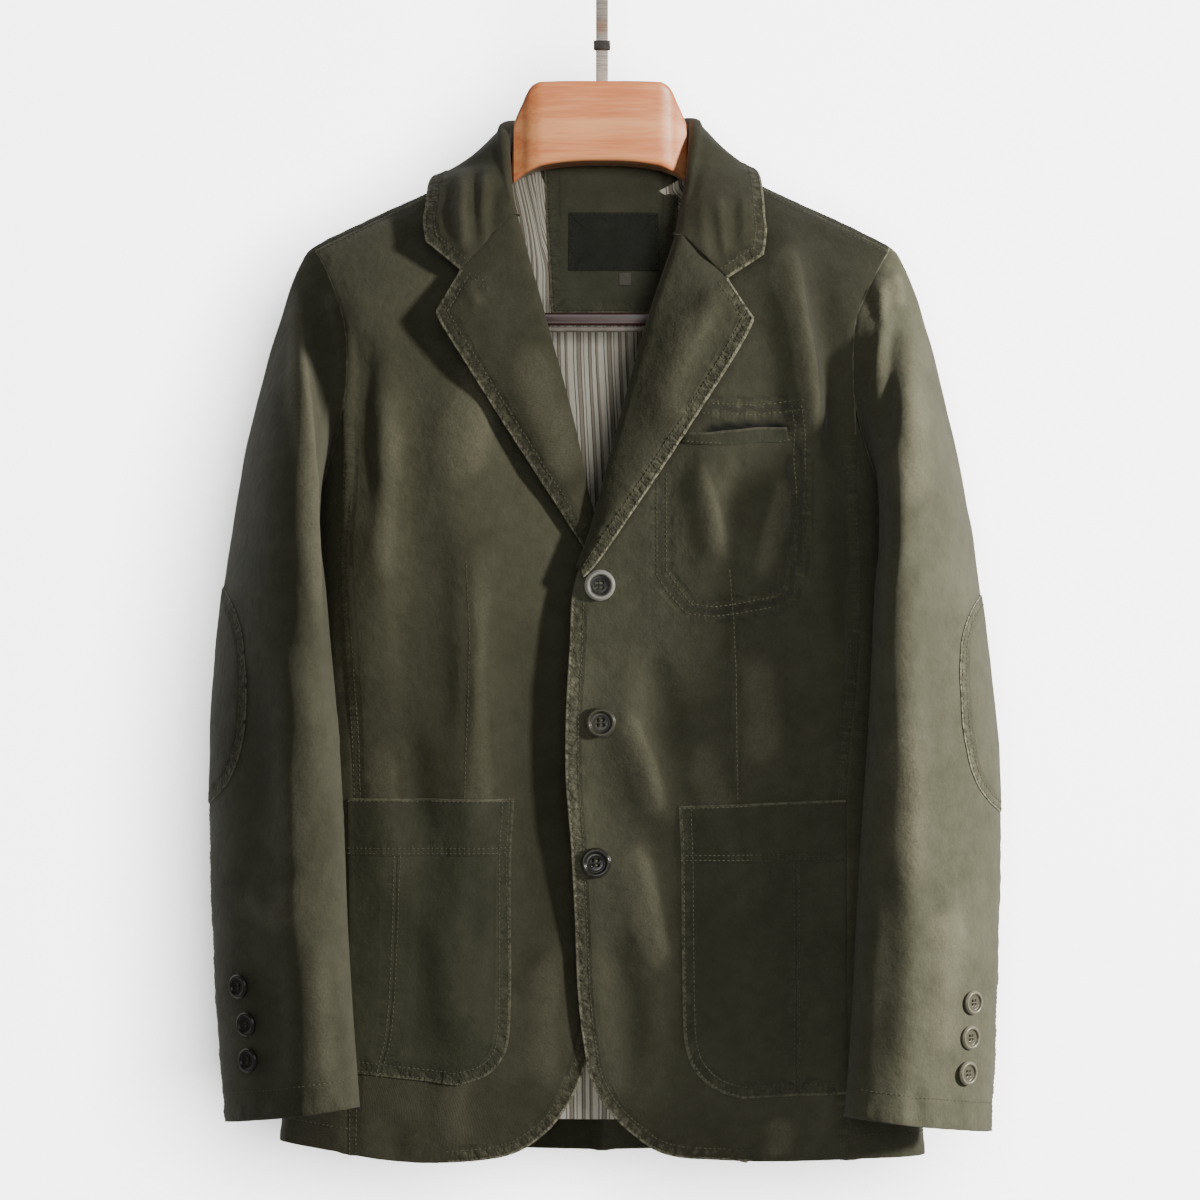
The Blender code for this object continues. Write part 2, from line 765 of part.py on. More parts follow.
def armhole_point(side, degrees):
    """A point on the armhole: 0 at the shoulder, -90 at the front, 180 under the arm."""
    share = (-degrees % 360.0) / 360.0
    if share <= 1.0 / 3.0:
        x, z = front_outer(side, share * 3.0 * UNDERARM_ROW)
        return front_point(side, x, z)
    if share <= 2.0 / 3.0:
        under = share * 3.0 - 1.0
        return side_point(side, under, underarm_height(side, under))
    x, walk = back_outer((1.0 - share) * 3.0 * UNDERARM_ROW)
    return back_point(sign_of(side) * x, walk)


def sleeve_section(side, degrees, z):
    rows = SLEEVE_ROWS[side]
    outer = table_value(rows, z, 1)
    inner = table_value(rows, z, 2)
    middle_y = table_value(rows, z, 3)
    depth = table_value(rows, z, 4)
    lean = table_value(rows, z, 5)
    x = 0.5 * (outer + inner) + 0.5 * (outer - inner) * math.cos(math.radians(degrees - lean))
    y = middle_y + depth * math.sin(math.radians(degrees))
    point = Vector((sign_of(side) * x, y, z))
    if y < middle_y:
        point.y -= fold_height(SLEEVE_FOLDS[side], x, z) * ease((middle_y - y) / (0.5 * depth))
    return point


def cap_end(degrees):
    """Height where the sleeve cap becomes a tube, lower under the arm."""
    return -425.0 + 45.0 * math.cos(math.radians(degrees))


def sleeve_point(side, degrees, along):
    """Along is 0 at the armhole, 1 at the end of the cap and 2 at the cuff."""
    top = cap_end(degrees)
    if along >= 1.0:
        outwards = math.cos(math.radians(degrees - 40.0))
        cuff = CUFF_HEIGHT[side] - CUFF_TILT * outwards
        return sleeve_section(side, degrees, mix(top, cuff, along - 1.0))
    start = armhole_point(side, degrees)
    end = sleeve_section(side, degrees, top)
    turn = math.radians(degrees)
    way = Vector((sign_of(side) * 0.9, 0.35 * math.sin(turn), -0.4 + 0.1 * math.cos(turn)))
    start += way.normalized() * (SEAM + 0.4)
    reach = (end - start).length
    first = way.normalized() * mix(26.0, 52.0, 0.5 + 0.5 * math.cos(turn))
    last = (sleeve_section(side, degrees, top - 10.0) - end).normalized() * reach * 1.1
    square = along * along
    cube = square * along
    point = (
        start * (2 * cube - 3 * square + 1)
        + first * (cube - 2 * square + along)
        + end * (3 * square - 2 * cube)
        + last * (cube - square)
    )
    facing = math.sin(turn)
    if facing < 0.0:
        fold = fold_height(SLEEVE_FOLDS[side], abs(point.x), point.z)
        point.y += fold * facing * (1.0 - along) * ease(along * 4.0)
    return point


TOP_ANGLES = (FRONT_SLEEVE_SEAM, -143, -128, -112, -95, -77, -59, -41, -23, -9, 0, 10, 22, 34,
              BACK_SLEEVE_SEAM)
UNDER_ANGLES = (BACK_SLEEVE_SEAM, 58, 72, 90, 108, 126, 144, 162, 180, 193, 360.0 + FRONT_SLEEVE_SEAM)


def make_sleeve_half(name, side, angles, facing):
    alongs = [0.0, 0.08, 0.2, 0.34, 0.5, 0.66, 0.82] + spread(1.0, 2.0, 11)
    places = [[(angle, along) for angle in angles] for along in alongs]
    surface_sheet(name + side, lambda angle, along: sleeve_point(side, angle, along), places,
                  (0.5, 0.004), facing, CLOTH, OLIVE)


def make_sleeve(side):
    make_sleeve_half("topsleeve_", side, TOP_ANGLES, (0, -1, 0))
    make_sleeve_half("undersleeve_", side, UNDER_ANGLES, (0, 1, 0))


# Lapels and collar -----------------------------------------------------------------------------

def turned_edge(start, up, out, radius, steps):
    """Points round a fold, from its start to just before the leaf."""
    centre = start + out * radius
    points = []
    for step in range(steps):
        angle = math.pi * step / steps
        points.append(centre + (up * math.sin(angle) - out * math.cos(angle)) * radius)
    return points


def leaf_height(share, radius, lift):
    bow = BELLY * math.sin(math.pi * share)
    return mix(2.0 * radius, lift, share ** 1.5) + bow


def leaf_point(side, x, z, height):
    point = front_point(side, x, z)
    point.y -= height
    return point


def kinked(first, notch, last, share):
    """A point on a line that bends at the notch."""
    if share <= 0.6:
        return [mix(a, b, share / 0.6) for a, b in zip(first, notch)]
    return [mix(a, b, (share - 0.6) / 0.4) for a, b in zip(notch, last)]


LEAF_SHARES = (0.0, 0.2, 0.4, 0.6, 0.8, 1.0)
GORGE_ROW = 3


def gorge_frame(side, row):
    """Start of the fold on a front's inner edge, and the direction across it."""
    x, z = inner_edge(side, row)
    before = Vector(inner_edge(side, row - 0.1))
    after = Vector(inner_edge(side, row + 0.1))
    along = (after - before).normalized()
    across = Vector((along.y, 0.0, -along.x)) * -sign_of(side)
    if across.x * sign_of(side) > 0.0:
        across = -across
    start = front_point(side, x, z) + across * SEAM
    return start, across


def end_row(side, last, last_lift, shift):
    """The row along the gorge seam, out to the notch and on to a corner."""
    start, up = gorge_frame(side, GORGE_ROW)
    start = start + Vector((0.0, 0.0, shift))
    out = Vector((0.0, -1.0, 0.0))
    points = turned_edge(start, up, out, ROLL, 4)
    sign = sign_of(side)
    notch = (sign * NOTCH[side][0], NOTCH[side][1] + shift, NOTCH_LIFT)
    corner = (sign * last[0], last[1], last_lift)
    first = (start.x, start.z, 2.0 * ROLL)
    for share in LEAF_SHARES:
        x, z, height = kinked(first, notch, corner, share)
        points.append(leaf_point(side, x, z, height))
    return points


def end_normals(side):
    """Normals of that row, which collar and lapel share."""
    _, up = gorge_frame(side, GORGE_ROW)
    out = Vector((0.0, -1.0, 0.0))
    normals = []
    for step in range(4):
        angle = math.pi * step / 4
        normals.append(out * math.cos(angle) - up * math.sin(angle))
    return normals + [-out] * len(LEAF_SHARES)


def make_lapel(side):
    rows = LAPEL_ROWS[side]
    tip = rows[0][1:3]
    grid = [end_row(side, tip, rows[0][3], -0.5)]
    last = len(rows) - 1
    for at in spread(0.6, last, 10):
        front_row = row_value(rows, at, 0)
        edge_x = sign_of(side) * row_value(rows, at, 1)
        edge_z = row_value(rows, at, 2)
        lift = row_value(rows, at, 3)
        radius = mix(ROLL, ROLL_END, ease((at - 3.0) / (last - 3.0)))
        start, up = gorge_frame(side, front_row)
        line = turned_edge(start, up, Vector((0.0, -1.0, 0.0)), radius, 4)
        for share in LEAF_SHARES:
            x = mix(start.x, edge_x, share)
            z = mix(start.z, edge_z, share)
            line.append(leaf_point(side, x, z, leaf_height(share, radius, lift)))
        grid.append(line)
    sheet("lapel_" + side, grid, (0, 1, 0), CLOTH, OLIVE, gap=0.0, ends={0: end_normals(side)})


def collar_base(side, station):
    """Where the collar is sewn to the neck."""
    sign = sign_of(side)
    if station <= GORGE_ROW:
        x, z = inner_edge(side, GORGE_ROW - station)
        return front_point(side, x, z)
    x = curve_value((3, 4, 5, 6, 7), (NECK_POINT,) + BACK_NECK_X, station)
    return back_point(sign * x, neck_walk(x))


def collar_edge(side, station):
    """The collar's outer edge, lifted off the body."""
    rows = COLLAR_ROWS[side]
    x = sign_of(side) * row_value(rows, station, 3)
    walks = [walk_of(row[3], row[4], row[5]) for row in rows]
    walk = curve_value(range(len(rows)), walks, station)
    lift = row_value(rows, station, 6)

    def smooth_body(across, over):
        return body_point(across, walk_height(across, over), math.copysign(1.0, over))

    down = smooth_body(x, walk + 0.05) - smooth_body(x, walk - 0.05)
    across = smooth_body(x + 1.0, walk) - smooth_body(x - 1.0, walk)
    normal = across.cross(down).normalized()
    if normal.z < 0.0:
        normal = -normal
    return smooth_body(x, walk) + normal * lift


def collar_frame(side, station):
    """Base, fold start, up and out directions, and fold radius of a station."""
    rows = COLLAR_ROWS[side]
    sign = sign_of(side)
    base = collar_base(side, station)
    fold = Vector((sign * row_value(rows, station, 0), row_value(rows, station, 1),
                   row_value(rows, station, 2)))
    out = Vector((sign * row_value(rows, station, 7), row_value(rows, station, 8), 0.0)).normalized()
    gorge_start, gorge_up = gorge_frame(side, GORGE_ROW)
    up = (fold - base).normalized()
    share = ease(station)
    up = (gorge_up * (1.0 - share) + up * share).normalized()
    radius = mix(ROLL, 3.4, ease(station / 3.0))
    start = gorge_start * (1.0 - share) + (fold - up * radius - out * radius) * share
    return base, start, up, out, radius


def collar_row(side, station):
    if station <= 0.0:
        return end_row(side, COLLAR_POINT[side], POINT_LIFT, 0.5)
    _, start, up, out, radius = collar_frame(side, station)
    points = turned_edge(start, up, out, radius, 4)
    first = start + out * (2.0 * radius)
    last = collar_edge(side, station)
    span = last - first
    leave = -up * span.length * 0.5 + out * span.length * 0.5
    arrive = span * 1.1 - out * span.length * 0.2
    near_gorge = 1.0 - ease(station / 1.5)
    for share in LEAF_SHARES:
        square = share * share
        cube = square * share
        free = (
            first * (2 * cube - 3 * square + 1)
            + leave * (cube - 2 * square + share)
            + last * (3 * square - 2 * cube)
            + arrive * (cube - square)
        )
        laid = leaf_point(side, mix(first.x, last.x, share), mix(first.z, last.z, share),
                          leaf_height(share, ROLL, 13.0))
        points.append(free * (1.0 - near_gorge) + laid * near_gorge)
    return points


def make_collar():
    stations = [0.0, 0.5, 1.0, 1.5, 2.0, 2.5, 3.0, 3.5, 4.0, 4.5, 5.0, 6.0, 7.0]
    grid = [collar_row("right", station) for station in stations]
    grid += [collar_row("left", station) for station in reversed(stations[:-1])]
    ends = {0: end_normals("right"), len(grid) - 1: end_normals("left")}
    sheet("collar", grid, (0, -1, 0), CLOTH, OLIVE, gap=0.0, ends=ends)
    stand = []
    halves = [("right", station) for station in stations[3:]]
    halves += [("left", station) for station in reversed(stations[3:-1])]
    for side, station in halves:
        base, start, up, _, _ = collar_frame(side, station)
        rise = (start - base).normalized()
        low = base + rise * 1.3
        high = start - rise * SEAM
        stand.append([mix(low, high, share) for share in spread(0.0, 1.0, 3)])
    sheet("collar_stand", stand, (0, 1, 0), CLOTH, OLIVE_DARK, gap=0.0)


# Inside of the back ----------------------------------------------------------------------------

def inside_back(x, walk, depth):
    """A point inside the back, at a depth under its outer surface."""
    point = back_point(x, walk)
    across = back_point(x + 1.0, walk) - point
    down = back_point(x, walk + 0.01) - point
    normal = across.cross(down).normalized()
    if normal.y < 0.0:
        normal = -normal
    return point - normal * depth


def lining_top(x):
    """Where the lining's upper edge lies, as a walk from the ridge."""
    return max(neck_walk(x) + 0.07, 0.46)


def lining_point(x, walk):
    """The lining is sewn on at its upper edge and hangs a little clear below."""
    clear = ease((walk - lining_top(x)) / 0.3)
    return inside_back(x, walk, mix(CLOTH + 2.0 * LAY, LINING_DEPTH, clear))


def make_lining():
    hem = walk_of(0.0, -867.0, 1)
    places = []
    for down in [0.0, 0.03, 0.07, 0.12, 0.18, 0.27, 0.4, 0.55, 0.7, 0.85, 1.0]:
        line = []
        for share in spread(-1.0, 1.0, 17):
            x = 178.0 * share
            top = lining_top(x)
            end = hem - (ridge_height(0.0) - ridge_height(x)) / DOME
            line.append((x, mix(top, end, down)))
        places.append(line)
    surface_sheet("lining_back", lining_point, places, (0.5, 0.004), (0, 1, 0), LINING_CLOTH, LINING,
                  gap=0.0)


def make_inner_piece(name, heights, half_at, middle, columns, depth, thickness, colour):
    """A flat piece sewn inside the back, at a depth under the back's outer surface."""
    places = []
    for z in heights:
        line = []
        for share in spread(-1.0, 1.0, columns):
            x = middle + half_at(z) * share
            line.append((x, walk_of(x, z, 1)))
        places.append(line)
    surface_sheet(name, lambda x, walk: inside_back(x, walk, depth), places, (0.5, 0.004),
                  (0, 1, 0), thickness, colour, gap=0.0)


def make_facing():
    depth = LINING_DEPTH + LINING_CLOTH + 1.8 * LAY
    rows = tuple(reversed(FACING_ROWS))
    make_inner_piece("back_neck_facing", spread(-158.0, -256.0, 8),
                     lambda z: table_value(rows, z, 1), 0.0, 8, depth, LIGHT_CLOTH, OLIVE)
    depth += LIGHT_CLOTH + LAY
    for name, box, colour in (("label_patch", LABEL_BOX, (44, 42, 34)),
                              ("size_tab", TAB_BOX, (60, 58, 50))):
        left, right, top, bottom = box
        make_inner_piece(name, spread(top, bottom, 4), lambda z: 0.5 * (right - left),
                         0.5 * (left + right), 5, depth, 0.9, colour)


# Trim on the fronts ----------------------------------------------------------------------------

def make_pocket_piece(name, side, rows_span, edges, counts):
    """One cut piece of a patch pocket, between two of its edges."""
    rows = POCKET_ROWS[side]
    places = []
    for row in spread(*rows_span, counts[0]):
        inner = (row_value(rows, row, 0), row_value(rows, row, 2))
        outer = (row_value(rows, row, 1), row_value(rows, row, 3))
        share_down = (row - BAND_ROW) / (len(rows) - 1 - BAND_ROW)
        split_x = mix(*SPLIT_SEAM[side], max(share_down, 0.0))
        split = (split_x - inner[0]) / (outer[0] - inner[0])
        limits = {"inner": 0.0, "split": split, "outer": 1.0}
        line = []
        for share in spread(limits[edges[0]], limits[edges[1]], counts[1]):
            line.append((sign_of(side) * mix(inner[0], outer[0], share),
                         mix(inner[1], outer[1], share)))
        places.append(line)

    def outside(x, z):
        point = front_point(side, x, z)
        point.y -= LAY + LIGHT_CLOTH
        return point

    surface_sheet(name, outside, places, (0.5, 0.5), (0, -1, 0), LIGHT_CLOTH, OLIVE_DARK)


def make_pocket(side):
    last = len(POCKET_ROWS[side]) - 1
    parts = (
        ("pocket_band_", (0, BAND_ROW), ("inner", "outer"), (4, 11)),
        ("pocket_front_", (BAND_ROW, last), ("inner", "split"), (12, 8)),
        ("pocket_side_", (BAND_ROW, last), ("split", "outer"), (12, 4)),
    )
    for name, rows_span, edges, counts in parts:
        make_pocket_piece(name + side, side, rows_span, edges, counts)


def make_welt():
    grid = []
    for at in spread(0.0, len(WELT_ROWS) - 1, 9):
        x = row_value(WELT_ROWS, at, 0)
        top = row_value(WELT_ROWS, at, 1)
        bottom = row_value(WELT_ROWS, at, 2)
        stand = row_value(WELT_ROWS, at, 3)
        line = []
        for share in (0.0, 0.5, 1.0):
            point = front_point("left", x, mix(top, bottom, share))
            point.y -= LAY + LIGHT_CLOTH + 0.1 + stand * (1.0 - share)
            line.append(point)
        grid.append(line)
    sheet("chest_welt", grid, (0, -1, 0), LIGHT_CLOTH, OLIVE_DARK, gap=0.0)


PATCH_MIDDLE = {"right": -544.0, "left": -550.0}
PATCH_HALF = 81.0
PATCH_CENTRE = 30.0  # degrees round the sleeve
PATCH_SPREAD = 65.0


def make_elbow_patch(side):
    middle = PATCH_MIDDLE[side]
    places = []
    for share in (-0.985, -0.93, -0.82, -0.62, -0.35, 0.0, 0.35, 0.62, 0.82, 0.93, 0.985):
        reach = PATCH_SPREAD * (1.0 - abs(share) ** 3.0) ** (1.0 / 2.2)
        z = middle - PATCH_HALF * share
        places.append([(PATCH_CENTRE + reach * across, z) for across in spread(-1.0, 1.0, 10)])

    def outside(angle, z):
        point = sleeve_section(side, angle, z)
        around = sleeve_section(side, angle + 1.0, z) - point
        outwards = Vector((around.y, -around.x, 0.0)).normalized() * sign_of(side)
        return point + outwards * (2.2 * LAY + LIGHT_CLOTH)

    surface_sheet("elbow_patch_" + side, outside, places, (1.0, 1.0), (sign_of(side), 0, 0),
                  LIGHT_CLOTH, OLIVE, gap=0.0)


def make_button(name, centre, facing, radius, steps, colour):
    """A turned button with a raised rim."""
    thick = 0.36 * radius
    profile = (
        (0.0, 0.45 * thick),
        (0.68 * radius, 0.6 * thick),
        (0.82 * radius, thick),
        (0.97 * radius, 0.7 * thick),
        (0.9 * radius, 0.0),
        (0.0, 0.0),
    )
    mesh = bpy.data.meshes.new(name)
    verts = [(x * MM, 0.0, z * MM) for x, z in profile]
    mesh.from_pydata(verts, [(i, i + 1) for i in range(len(verts) - 1)], [])
    piece = finish_object(name, mesh, colour, 0.35)
    screw = piece.modifiers.new("Turn", "SCREW")
    screw.axis = "Z"
    screw.steps = steps
    screw.render_steps = steps
    screw.use_merge_vertices = True
    screw.merge_threshold = 0.00001
    piece.rotation_mode = "QUATERNION"
    piece.rotation_quaternion = facing.to_track_quat("Z", "Y")
    piece.location = centre * MM


def surface_normal(point_at, u, v, step_u, step_v, hint):
    across = point_at(u + step_u, v) - point_at(u - step_u, v)
    down = point_at(u, v + step_v) - point_at(u, v - step_v)
    normal = across.cross(down).normalized()
    return normal if normal.dot(hint) > 0.0 else -normal


def make_front_buttons():
    names = ("front_button_top", "front_button_middle", "front_button_bottom")
    colours = ((150, 147, 138), (96, 92, 80), (70, 56, 44))
    for name, (x, z), colour in zip(names, FRONT_BUTTONS, colours):
        point = front_point("left", x, z)
        normal = surface_normal(lambda a, b: front_point("left", a, b), x, z, 4.0, 4.0,
                                Vector((0, -1, 0)))
        make_button(name, point + normal * LAY, normal, BUTTON_RADIUS, 20, colour)


def cuff_angle(side, x, z):
    rows = SLEEVE_ROWS[side]
    outer = table_value(rows, z, 1)
    inner = table_value(rows, z, 2)
    share = (x - 0.5 * (outer + inner)) / (0.5 * (outer - inner))
    return table_value(rows, z, 5) - math.degrees(math.acos(share))


def make_cuff_buttons(side):
    for number, (x, z) in enumerate(CUFF_BUTTONS[side], 1):
        angle = cuff_angle(side, x, z)
        point = sleeve_section(side, angle, z)
        normal = surface_normal(lambda a, b: sleeve_section(side, a, b), angle, z, 3.0, 4.0,
                                Vector((sign_of(side), -1, 0)))
        name = "cuff_button_%s_%d" % (side, number)
        make_button(name, point + normal * SEAM, normal, CUFF_BUTTON_RADIUS, 16, (72, 58, 46))


# Hanger ----------------------------------------------------------------------------------------

def make_hanger():
    """The wooden body, lofted through rounded sections along X."""
    stations = [-row[0] for row in reversed(HANGER_ROWS[1:])] + [row[0] for row in HANGER_ROWS]
    corners = 12
    verts = []
    for x in stations:
        row = next(row for row in HANGER_ROWS if row[0] == abs(x))
        _, top, bottom, front, back = row
        for corner in range(corners):
            angle = 2.0 * math.pi * corner / corners
            square = 0.62
            y = math.copysign(abs(math.cos(angle)) ** square, math.cos(angle))
            z = math.copysign(abs(math.sin(angle)) ** square, math.sin(angle))
            y = 0.5 * (front + back) + 0.5 * (back - front) * y
            z = 0.5 * (top + bottom) + 0.5 * (top - bottom) * z
            verts.append(((x + HANGER_SHIFT) * MM, y * MM, z * MM))
    faces = []
    for station in range(len(stations) - 1):
        for corner in range(corners):
            following = (corner + 1) % corners
            low = station * corners
            high = low + corners
            faces.append((low + corner, low + following, high + following, high + corner))
    faces.append(tuple(reversed(range(corners))))
    faces.append(tuple(range(len(verts) - corners, len(verts))))
    mesh = bpy.data.meshes.new("hanger")
    mesh.from_pydata(verts, [], faces)
    finish_object("hanger", mesh, (230, 181, 141), 0.4)


def swept_bar(name, path, width, height, colour, roughness, metallic):
    """A flat bar swept along points in the YZ or XZ plane."""
    spine = [Vector(point) for point in path]
    verts = []
    plane = Vector((1, 0, 0)) if all(abs(point.x) < 0.001 for point in spine) else Vector((0, 1, 0))
    for index, point in enumerate(spine):
        before = spine[max(index - 1, 0)]
        after = spine[min(index + 1, len(spine) - 1)]
        normal = (after - before).normalized().cross(plane)
        for across, through in ((-1, -1), (1, -1), (1, 1), (-1, 1)):
            verts.append((point + plane * across * width / 2 + normal * through * height / 2) * MM)
    faces = []
    for index in range(len(spine) - 1):
        for corner in range(4):
            following = (corner + 1) % 4
            low = index * 4
            faces.append((low + corner, low + following, low + 4 + following, low + 4 + corner))
    faces.append((3, 2, 1, 0))
    faces.append(tuple(range(len(verts) - 4, len(verts))))
    mesh = bpy.data.meshes.new(name)
    mesh.from_pydata(verts, [], faces)
    shape = bmesh.new()
    shape.from_mesh(mesh)
    bmesh.ops.recalc_face_normals(shape, faces=shape.faces)
    shape.to_mesh(mesh)
    shape.free()
    return finish_object(name, mesh, colour, roughness, metallic)


def make_hook():
    """A flat steel hook in the plane of the coat's side view, its inside top at the origin."""
    radius = HOOK_RADIUS + HOOK_STEEL / 2
    path = []
    for degrees in spread(-35.0, 225.0, 22):
        angle = math.radians(degrees)
        path.append((0.0, radius * math.cos(angle), radius * math.sin(angle) - HOOK_RADIUS))
    end_y, end_z = path[-1][1:]
    for share in spread(0.2, 1.0, 5):
        path.append((0.0, end_y * (1.0 - ease(share)), mix(end_z, -56.0, share)))
    path.append((0.0, 0.0, -88.6))
    swept_bar("hook", path, HOOK_WIDTH, HOOK_STEEL, (205, 200, 190), 0.3, 1.0)


def make_hook_ring():
    """A dark clip round the stem."""
    outer = bmesh.new()
    bmesh.ops.create_cube(outer, size=1.0)
    top = -57.0
    for vert in outer.verts:
        vert.co = Vector((vert.co.x * 12.5, vert.co.y * 7.0, vert.co.z * 7.0 + top - 3.5)) * MM
    mesh = bpy.data.meshes.new("hook_ring")
    outer.to_mesh(mesh)
    outer.free()
    ring = finish_object("hook_ring", mesh, (96, 92, 88), 0.4, 0.6)
    cutter_mesh = bpy.data.meshes.new("hook_ring_hole")
    hole = bmesh.new()
    bmesh.ops.create_cube(hole, size=1.0)
    for vert in hole.verts:
        vert.co = Vector((vert.co.x * (HOOK_WIDTH + 0.8), vert.co.y * (HOOK_STEEL + 0.8),
                          vert.co.z * 12.0 + top - 3.5)) * MM
    hole.to_mesh(cutter_mesh)
    hole.free()
    cutter = bpy.data.objects.new("hook_ring_hole", cutter_mesh)
    CUTTERS.objects.link(cutter)
    cutter.hide_render = True
    cutter.display_type = "WIRE"
    cut = ring.modifiers.new("Hole", "BOOLEAN")
    cut.operation = "DIFFERENCE"
    cut.object = cutter


def make_trouser_bar():
    """The bar with its two upright ends, and the pale strip under it."""
    lug_top = -208.6
    corner = 7.0
    path = [(-LUG_X, 0.0, lug_top), (-LUG_X, 0.0, BAR_HEIGHT + corner)]
    path += [(-LUG_X + 2.0, 0.0, BAR_HEIGHT + 2.0), (-LUG_X + corner, 0.0, BAR_HEIGHT)]
    path += [(-point[0], 0.0, point[2]) for point in reversed(path)]
    swept_bar("trouser_bar", [(x, 3.0, z) for x, _, z in path], 9.0, 9.5, (93, 64, 59), 0.35, 0.0)
    grip_height = BAR_HEIGHT - 9.5 / 2 - LAY - 1.9
    grip = [(-LUG_X + 12.0, 3.0, grip_height), (LUG_X - 12.0, 3.0, grip_height)]
    swept_bar("bar_grip", grip, 8.0, 3.8, (190, 182, 172), 0.6, 0.0)


# Build -----------------------------------------------------------------------------------------

for old in list(bpy.data.objects):
    bpy.data.objects.remove(old)
PARTS = new_collection("blazer_on_hanger")
CUTTERS = new_collection("cutters")
for wearer_side in ("right", "left"):
    make_front(wearer_side)
    make_side(wearer_side)
    make_back(wearer_side)
    make_sleeve(wearer_side)
    make_elbow_patch(wearer_side)
    make_lapel(wearer_side)
    make_pocket(wearer_side)
    make_cuff_buttons(wearer_side)
make_collar()
make_lining()
make_facing()
make_welt()
make_front_buttons()
make_hanger()
make_hook()
make_hook_ring()
make_trouser_bar()
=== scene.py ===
"""The looks of a casual cotton blazer on a wooden hanger.

Each cloth piece is made from the CAD sheet of the same name. Its grid of points is read from the
CAD mesh in model.glb, made finer along smooth curves, given its folds and the puckers along its
seams, and turned into a thin wall. X runs to the wearer's left, the chest faces -Y and Z is up.
Lengths are in millimetres until a mesh is made.
"""

import math

import bmesh
import bpy
import numpy as np
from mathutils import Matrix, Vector
from mathutils.bvhtree import BVHTree
from mathutils.kdtree import KDTree


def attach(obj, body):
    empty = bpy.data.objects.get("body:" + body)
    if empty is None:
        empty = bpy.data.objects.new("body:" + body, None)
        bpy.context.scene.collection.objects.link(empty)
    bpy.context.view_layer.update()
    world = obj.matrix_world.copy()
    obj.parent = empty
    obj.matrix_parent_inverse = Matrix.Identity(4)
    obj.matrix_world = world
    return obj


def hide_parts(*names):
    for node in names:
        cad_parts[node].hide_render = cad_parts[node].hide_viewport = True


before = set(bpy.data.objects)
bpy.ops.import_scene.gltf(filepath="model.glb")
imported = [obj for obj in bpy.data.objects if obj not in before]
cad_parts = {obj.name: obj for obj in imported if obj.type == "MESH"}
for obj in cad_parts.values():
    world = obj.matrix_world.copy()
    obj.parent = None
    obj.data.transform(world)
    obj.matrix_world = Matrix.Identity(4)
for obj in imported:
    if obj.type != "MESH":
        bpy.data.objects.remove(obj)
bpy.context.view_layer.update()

MM = 0.001

# Driving sizes, in millimetres
CLOTH = 1.5  # thickness of the coat's cloth at its edges
LIGHT_CLOTH = 1.0
PATCH_CLOTH = 0.8
GRAIN = 3.4  # spacing of the points of a large piece
FINE_GRAIN = 2.2  # the same for collar, lapels and trim
EDGE_ROW = 1.8  # the outer row of topstitching, from the edge
INNER_ROW = 8.5  # the inner row
HEM_ROW = 18.0
PUCKER_PITCH = 13.0  # usual distance between two puckers
STITCH_PITCH = 3.5
STITCH_LENGTH = 2.7
THREAD = 0.7
PROBE = 16.0  # how far off a surface is looked for
JOINT_LAP = 0.9  # how far a sheet runs on under the next one in a seam
FAR_INSIDE = 30.0  # what counts as far from an edge that shows pale with wear and painted highlight
REST_GAP = 0.1  # between a sheet or a stitch and the cloth it lies on
FELLED_ROW = 7.0  # the inner row of a felled seam
CUFF_ROW = 21.0
POCKET_GRAIN = 2.8
FOLD_TAPER = 0.3  # share of a fold's length over which it fades at each end
WAVE_COUNT = 7
SEAM_END = 12.0  # length over which the puckers fade at a seam's ends
HOLD_WIDTH = 9.0  # width over which the folds fade towards a joint
TURNED = 0.45  # how much higher the cloth is where it is turned in
TURNED_WIDTH = 10.5
# The kinds of seam that show pale with wear and painted highlight, with how far that is set back, and
# how much each kind crinkles
PALE_RUB_AND_HIGHLIGHT_FROM = {"edge": 0.0, "patch": 0.6, "ridge": 1.0}
CRINKLED = {"edge": 1.0, "patch": 1.0, "hem": 0.15, "line": 0.5, "lap": 0.5, "ridge": 0.12,
            "joint": 0.12}
STITCHED_JOINT = 0.55  # how much a joint with rows of stitches crinkles
SIDES = ("right", "left")  # of the wearer


def sign_of(side):
    return -1.0 if side == "right" else 1.0


def outward(side):
    """The way from the coat's middle to one side."""
    return (sign_of(side), 0, 0)


def ease(share):
    """Goes smoothly from 0 to 1."""
    share = np.clip(share, 0.0, 1.0)
    return share * share * (3.0 - 2.0 * share)


# Folds -----------------------------------------------------------------------------------------
# A fold is a line seen from the front, as x and z of its points; its half widths on the left and
# right of that line as it is walked; and its height, where a trough is below nothing.

